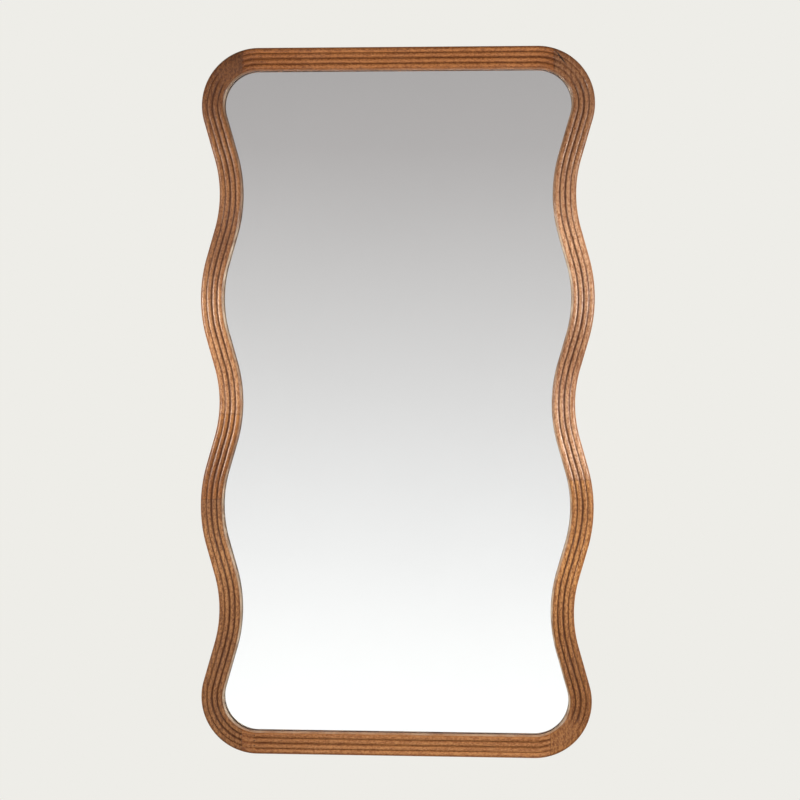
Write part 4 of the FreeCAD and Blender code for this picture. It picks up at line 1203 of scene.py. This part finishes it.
class MIRROR_OT_hangers(bpy.types.Operator):
    """Finish the four hangers and drive their screws"""
    bl_idname = "wall_mirror.build_hangers"
    bl_label = "Hangers"

    def execute(self, context):
        h, s = context.scene.mirror_hardware, context.scene.mirror_frame
        nickel = metal_material("Bright nickel", h.nickel, 0.36, 0.05)
        sides = ("left", "right", "top", "bottom")
        for side in sides:
            dress("hanger_strap_" + side, nickel)
            dress("hanger_ring_" + side, nickel)
        template = screw_mesh(HANGER_SCREW, h.thread_pitch, h.around)
        rng = np.random.RandomState(9)
        places = []
        for side in sides:
            x, z, way_x, way_z = self.strap_line(side, s, h)
            for reach in (h.near_screw, h.far_screw):
                spot = (x + way_x * reach, -h.screw_stand, z + way_z * reach)
                places.append((spot, rng.uniform(0, math.pi)))
        screws = many_screws("hanger_wood_screws", template, places)
        screws.data.materials.append(nickel)
        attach(screws, "mirror")
        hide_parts("hanger_screws")
        return {"FINISHED"}

    @staticmethod
    def strap_line(side, s, h):
        """X and Z of the eye of a strap, and the way from it to the strap's screws."""
        low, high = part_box("hanger_strap_" + side)
        middle = (low + high) / 2
        if side in ("left", "right"):
            return middle.x, s.height / 2 - h.strap_drop, 0.0, -1.0
        return h.strap_end - s.width / 2, middle.z, 1.0, 0.0


class MIRROR_OT_bumpers(bpy.types.Operator):
    """Finish the wall bumpers"""
    bl_idname = "wall_mirror.build_bumpers"
    bl_label = "Wall bumpers"

    def execute(self, context):
        h = context.scene.mirror_hardware
        rubber = matt_material("Grey rubber", h.rubber, scaled_colour(h.rubber, 0.85),
                               350.0, 0.62, 0.00004, dust=0.12)
        for name in sorted(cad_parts):
            if name.startswith("wall_bumper_"):
                dress(name, rubber)
        return {"FINISHED"}


# Each light: its place, its width and height, and the point that it faces
LIGHTS = {
    "left": ((-2.05, -1.45, 0.25), (0.35, 0.50), (0.0, 0.0, 0.10)),
    "right": ((2.05, -1.45, 0.25), (0.35, 0.50), (0.0, 0.0, 0.10)),
    "front": ((-0.2, -4.9, 0.9), (2.0, 1.6), (0.0, 0.0, 0.0)),
    "back": ((0.9, 3.4, 1.4), (2.0, 2.0), (0.0, 0.0, 0.0)),
}
LIGHT_COLOUR = (1.0, 0.95, 0.89)

# The room that the mirror shows, from low to high: share of the height, light and warmth
ROOM_STOPS = [(0.0, 1.12, 0.0), (0.08, 1.10, 0.0), (0.15, 1.05, 0.005),
              (0.78, 0.455, 0.05), (0.88, 0.415, 0.05), (1.0, 0.40, 0.05)]
ROOM_HEIGHT = 0.25       # Z of the direction where the room's colours end, up and down
ROOM_SIDES = (-0.82, -0.95)        # Y of the direction where the room starts and is full
SIDE_SHARES = (0.5, 0.49, 0.48)    # light beside the room, as shares of the ambient light
EVEN_SHARES = (1.0, 0.985, 0.96)   # light on matt surfaces, as shares of the ambient light


class MIRROR_OT_stage(bpy.types.Operator):
    """Build the floor, the lights, the sky and the camera"""
    bl_idname = "wall_mirror.build_stage"
    bl_label = "Studio stage"

    def execute(self, context):
        st = context.scene.mirror_stage
        self.build_floor(st)
        self.build_sky(context, st)
        for side, (place, extent, aim) in LIGHTS.items():
            name = side.capitalize() + " soft box"
            data = bpy.data.lights.new(name, "AREA")
            data.shape, data.size, data.size_y = "RECTANGLE", extent[0], extent[1]
            data.energy = getattr(st, side + "_light")
            data.color = LIGHT_COLOUR
            lamp = bpy.data.objects.new(name, data)
            lamp.location = place
            way = Vector(aim) - Vector(place)
            lamp.rotation_euler = way.to_track_quat("-Z", "Y").to_euler()
            if side == "front":
                self.hide_from_mirror(lamp)
            context.scene.collection.objects.link(lamp)
        camera = bpy.data.cameras.new("Camera")
        camera.lens, camera.sensor_width = st.lens, 36.0
        camera.clip_start, camera.clip_end = 0.05, 60.0
        eye = bpy.data.objects.new("Camera", camera)
        turn = Matrix.Rotation(st.camera_turn, 4, "Z")
        tilt = Matrix.Rotation(math.pi / 2 + st.camera_tilt, 4, "X")
        roll = Matrix.Rotation(st.camera_roll, 4, "Z")
        eye.matrix_world = Matrix.Translation(st.camera_place) @ turn @ tilt @ roll
        context.scene.collection.objects.link(eye)
        context.scene.camera = eye
        context.scene.view_settings.view_transform = "Standard"
        return {"FINISHED"}

    @staticmethod
    def hide_from_mirror(obj):
        """Keeps an object out of the mirror and of other glossy finishes."""
        obj.visible_glossy = False
        obj.visible_transmission = False

    @staticmethod
    def build_floor(st):
        """A pale slab with rounded corners, in front of the mirror and under it."""
        half, front, back, radius, thick, steps = 2.3, -2.9, 0.13, 0.25, 0.03, 8
        outline = []
        for cx, cy, start in ((half - radius, back - radius, 0.0),
                              (-half + radius, back - radius, math.pi / 2),
                              (-half + radius, front + radius, math.pi),
                              (half - radius, front + radius, 1.5 * math.pi)):
            for step in range(steps + 1):
                angle = start + step / steps * math.pi / 2
                outline.append((cx + radius * math.cos(angle),
                                cy + radius * math.sin(angle)))
        points = [(x, y, st.floor_level) for x, y in outline]
        points += [(x, y, st.floor_level - thick) for x, y in outline]
        floor = new_mesh("floor", points, plate_faces(len(outline)))
        floor.data.materials.append(matt_material(
            "Pale floor", st.floor, scaled_colour(st.floor, 0.97), 6.0, 0.7, 0.0002,
            contrast=0.2))
        MIRROR_OT_stage.hide_from_mirror(floor)

    @staticmethod
    def build_sky(context, st):
        """A plain backdrop, an even light, and the pale room that the mirror shows."""
        world = bpy.data.worlds.new("Studio")
        context.scene.world = world
        world.use_nodes = True
        tree = world.node_tree
        tree.nodes.clear()
        way = put(tree, "ShaderNodeTexCoord").outputs["Generated"]
        rise = put(tree, "ShaderNodeSeparateXYZ", Vector=way).outputs["Z"]
        ahead = put(tree, "ShaderNodeSeparateXYZ", Vector=way).outputs["Y"]
        opening = between(tree, ahead, *ROOM_SIDES, smooth=True)
        sides = rgba([st.ambient * part for part in SIDE_SHARES])
        ramp = put(tree, "ShaderNodeValToRGB",
                   Fac=between(tree, rise, -ROOM_HEIGHT, ROOM_HEIGHT))
        ramp.color_ramp.interpolation = "LINEAR"
        elements = ramp.color_ramp.elements
        while len(elements) < len(ROOM_STOPS):
            elements.new(0.5)
        for element, (spot, value, warmth) in zip(elements, ROOM_STOPS):
            element.position = spot
            element.color = (value * (1 + warmth), value, value, 1.0)
        rays = put(tree, "ShaderNodeLightPath").outputs
        even = rgba([st.ambient * part for part in EVEN_SHARES])
        room = blend(tree, opening, sides, ramp.outputs[0])
        colour = blend(tree, rays["Is Diffuse Ray"], room, even)
        colour = blend(tree, rays["Is Camera Ray"], colour, rgba(st.backdrop))
        light = put(tree, "ShaderNodeBackground", Color=colour, Strength=1.0)
        put(tree, "ShaderNodeOutputWorld", Surface=light.outputs[0])


class MIRROR_PT_panel(bpy.types.Panel):
    """The mirror's builders and settings"""
    bl_label = "Wall mirror"
    bl_idname = "MIRROR_PT_panel"
    bl_space_type = "VIEW_3D"
    bl_region_type = "UI"
    bl_category = "Mirror"

    def draw(self, context):
        for operator in OPERATORS:
            self.layout.operator(operator.bl_idname)
        for label in SETTINGS:
            group = getattr(context.scene, label)
            box = self.layout.box()
            for name in group.__annotations__:
                box.prop(group, name)


SETTINGS = {"mirror_frame": FrameSettings, "mirror_glass": MirrorSettings,
            "mirror_hardware": HardwareSettings, "mirror_stage": StageSettings}
OPERATORS = (MIRROR_OT_frame, MIRROR_OT_dowels, MIRROR_OT_glass, MIRROR_OT_backing,
             MIRROR_OT_board_screws, MIRROR_OT_hangers, MIRROR_OT_bumpers, MIRROR_OT_stage)


def register():
    """Adds the settings, the operators and the panel."""
    for label, group in SETTINGS.items():
        bpy.utils.register_class(group)
        setattr(bpy.types.Scene, label, PointerProperty(type=group))
    for operator in OPERATORS:
        bpy.utils.register_class(operator)
    bpy.utils.register_class(MIRROR_PT_panel)


def unregister():
    """Takes them away again."""
    bpy.utils.unregister_class(MIRROR_PT_panel)
    for operator in reversed(OPERATORS):
        bpy.utils.unregister_class(operator)
    for label, group in SETTINGS.items():
        delattr(bpy.types.Scene, label)
        bpy.utils.unregister_class(group)


def main():
    """Builds everything in order."""
    register()
    bpy.ops.wall_mirror.build_frame()
    bpy.ops.wall_mirror.build_dowels()
    bpy.ops.wall_mirror.build_glass()
    bpy.ops.wall_mirror.build_backing()
    bpy.ops.wall_mirror.build_board_screws()
    bpy.ops.wall_mirror.build_hangers()
    bpy.ops.wall_mirror.build_bumpers()
    bpy.ops.wall_mirror.build_stage()


if __name__ == "__main__":
    main()
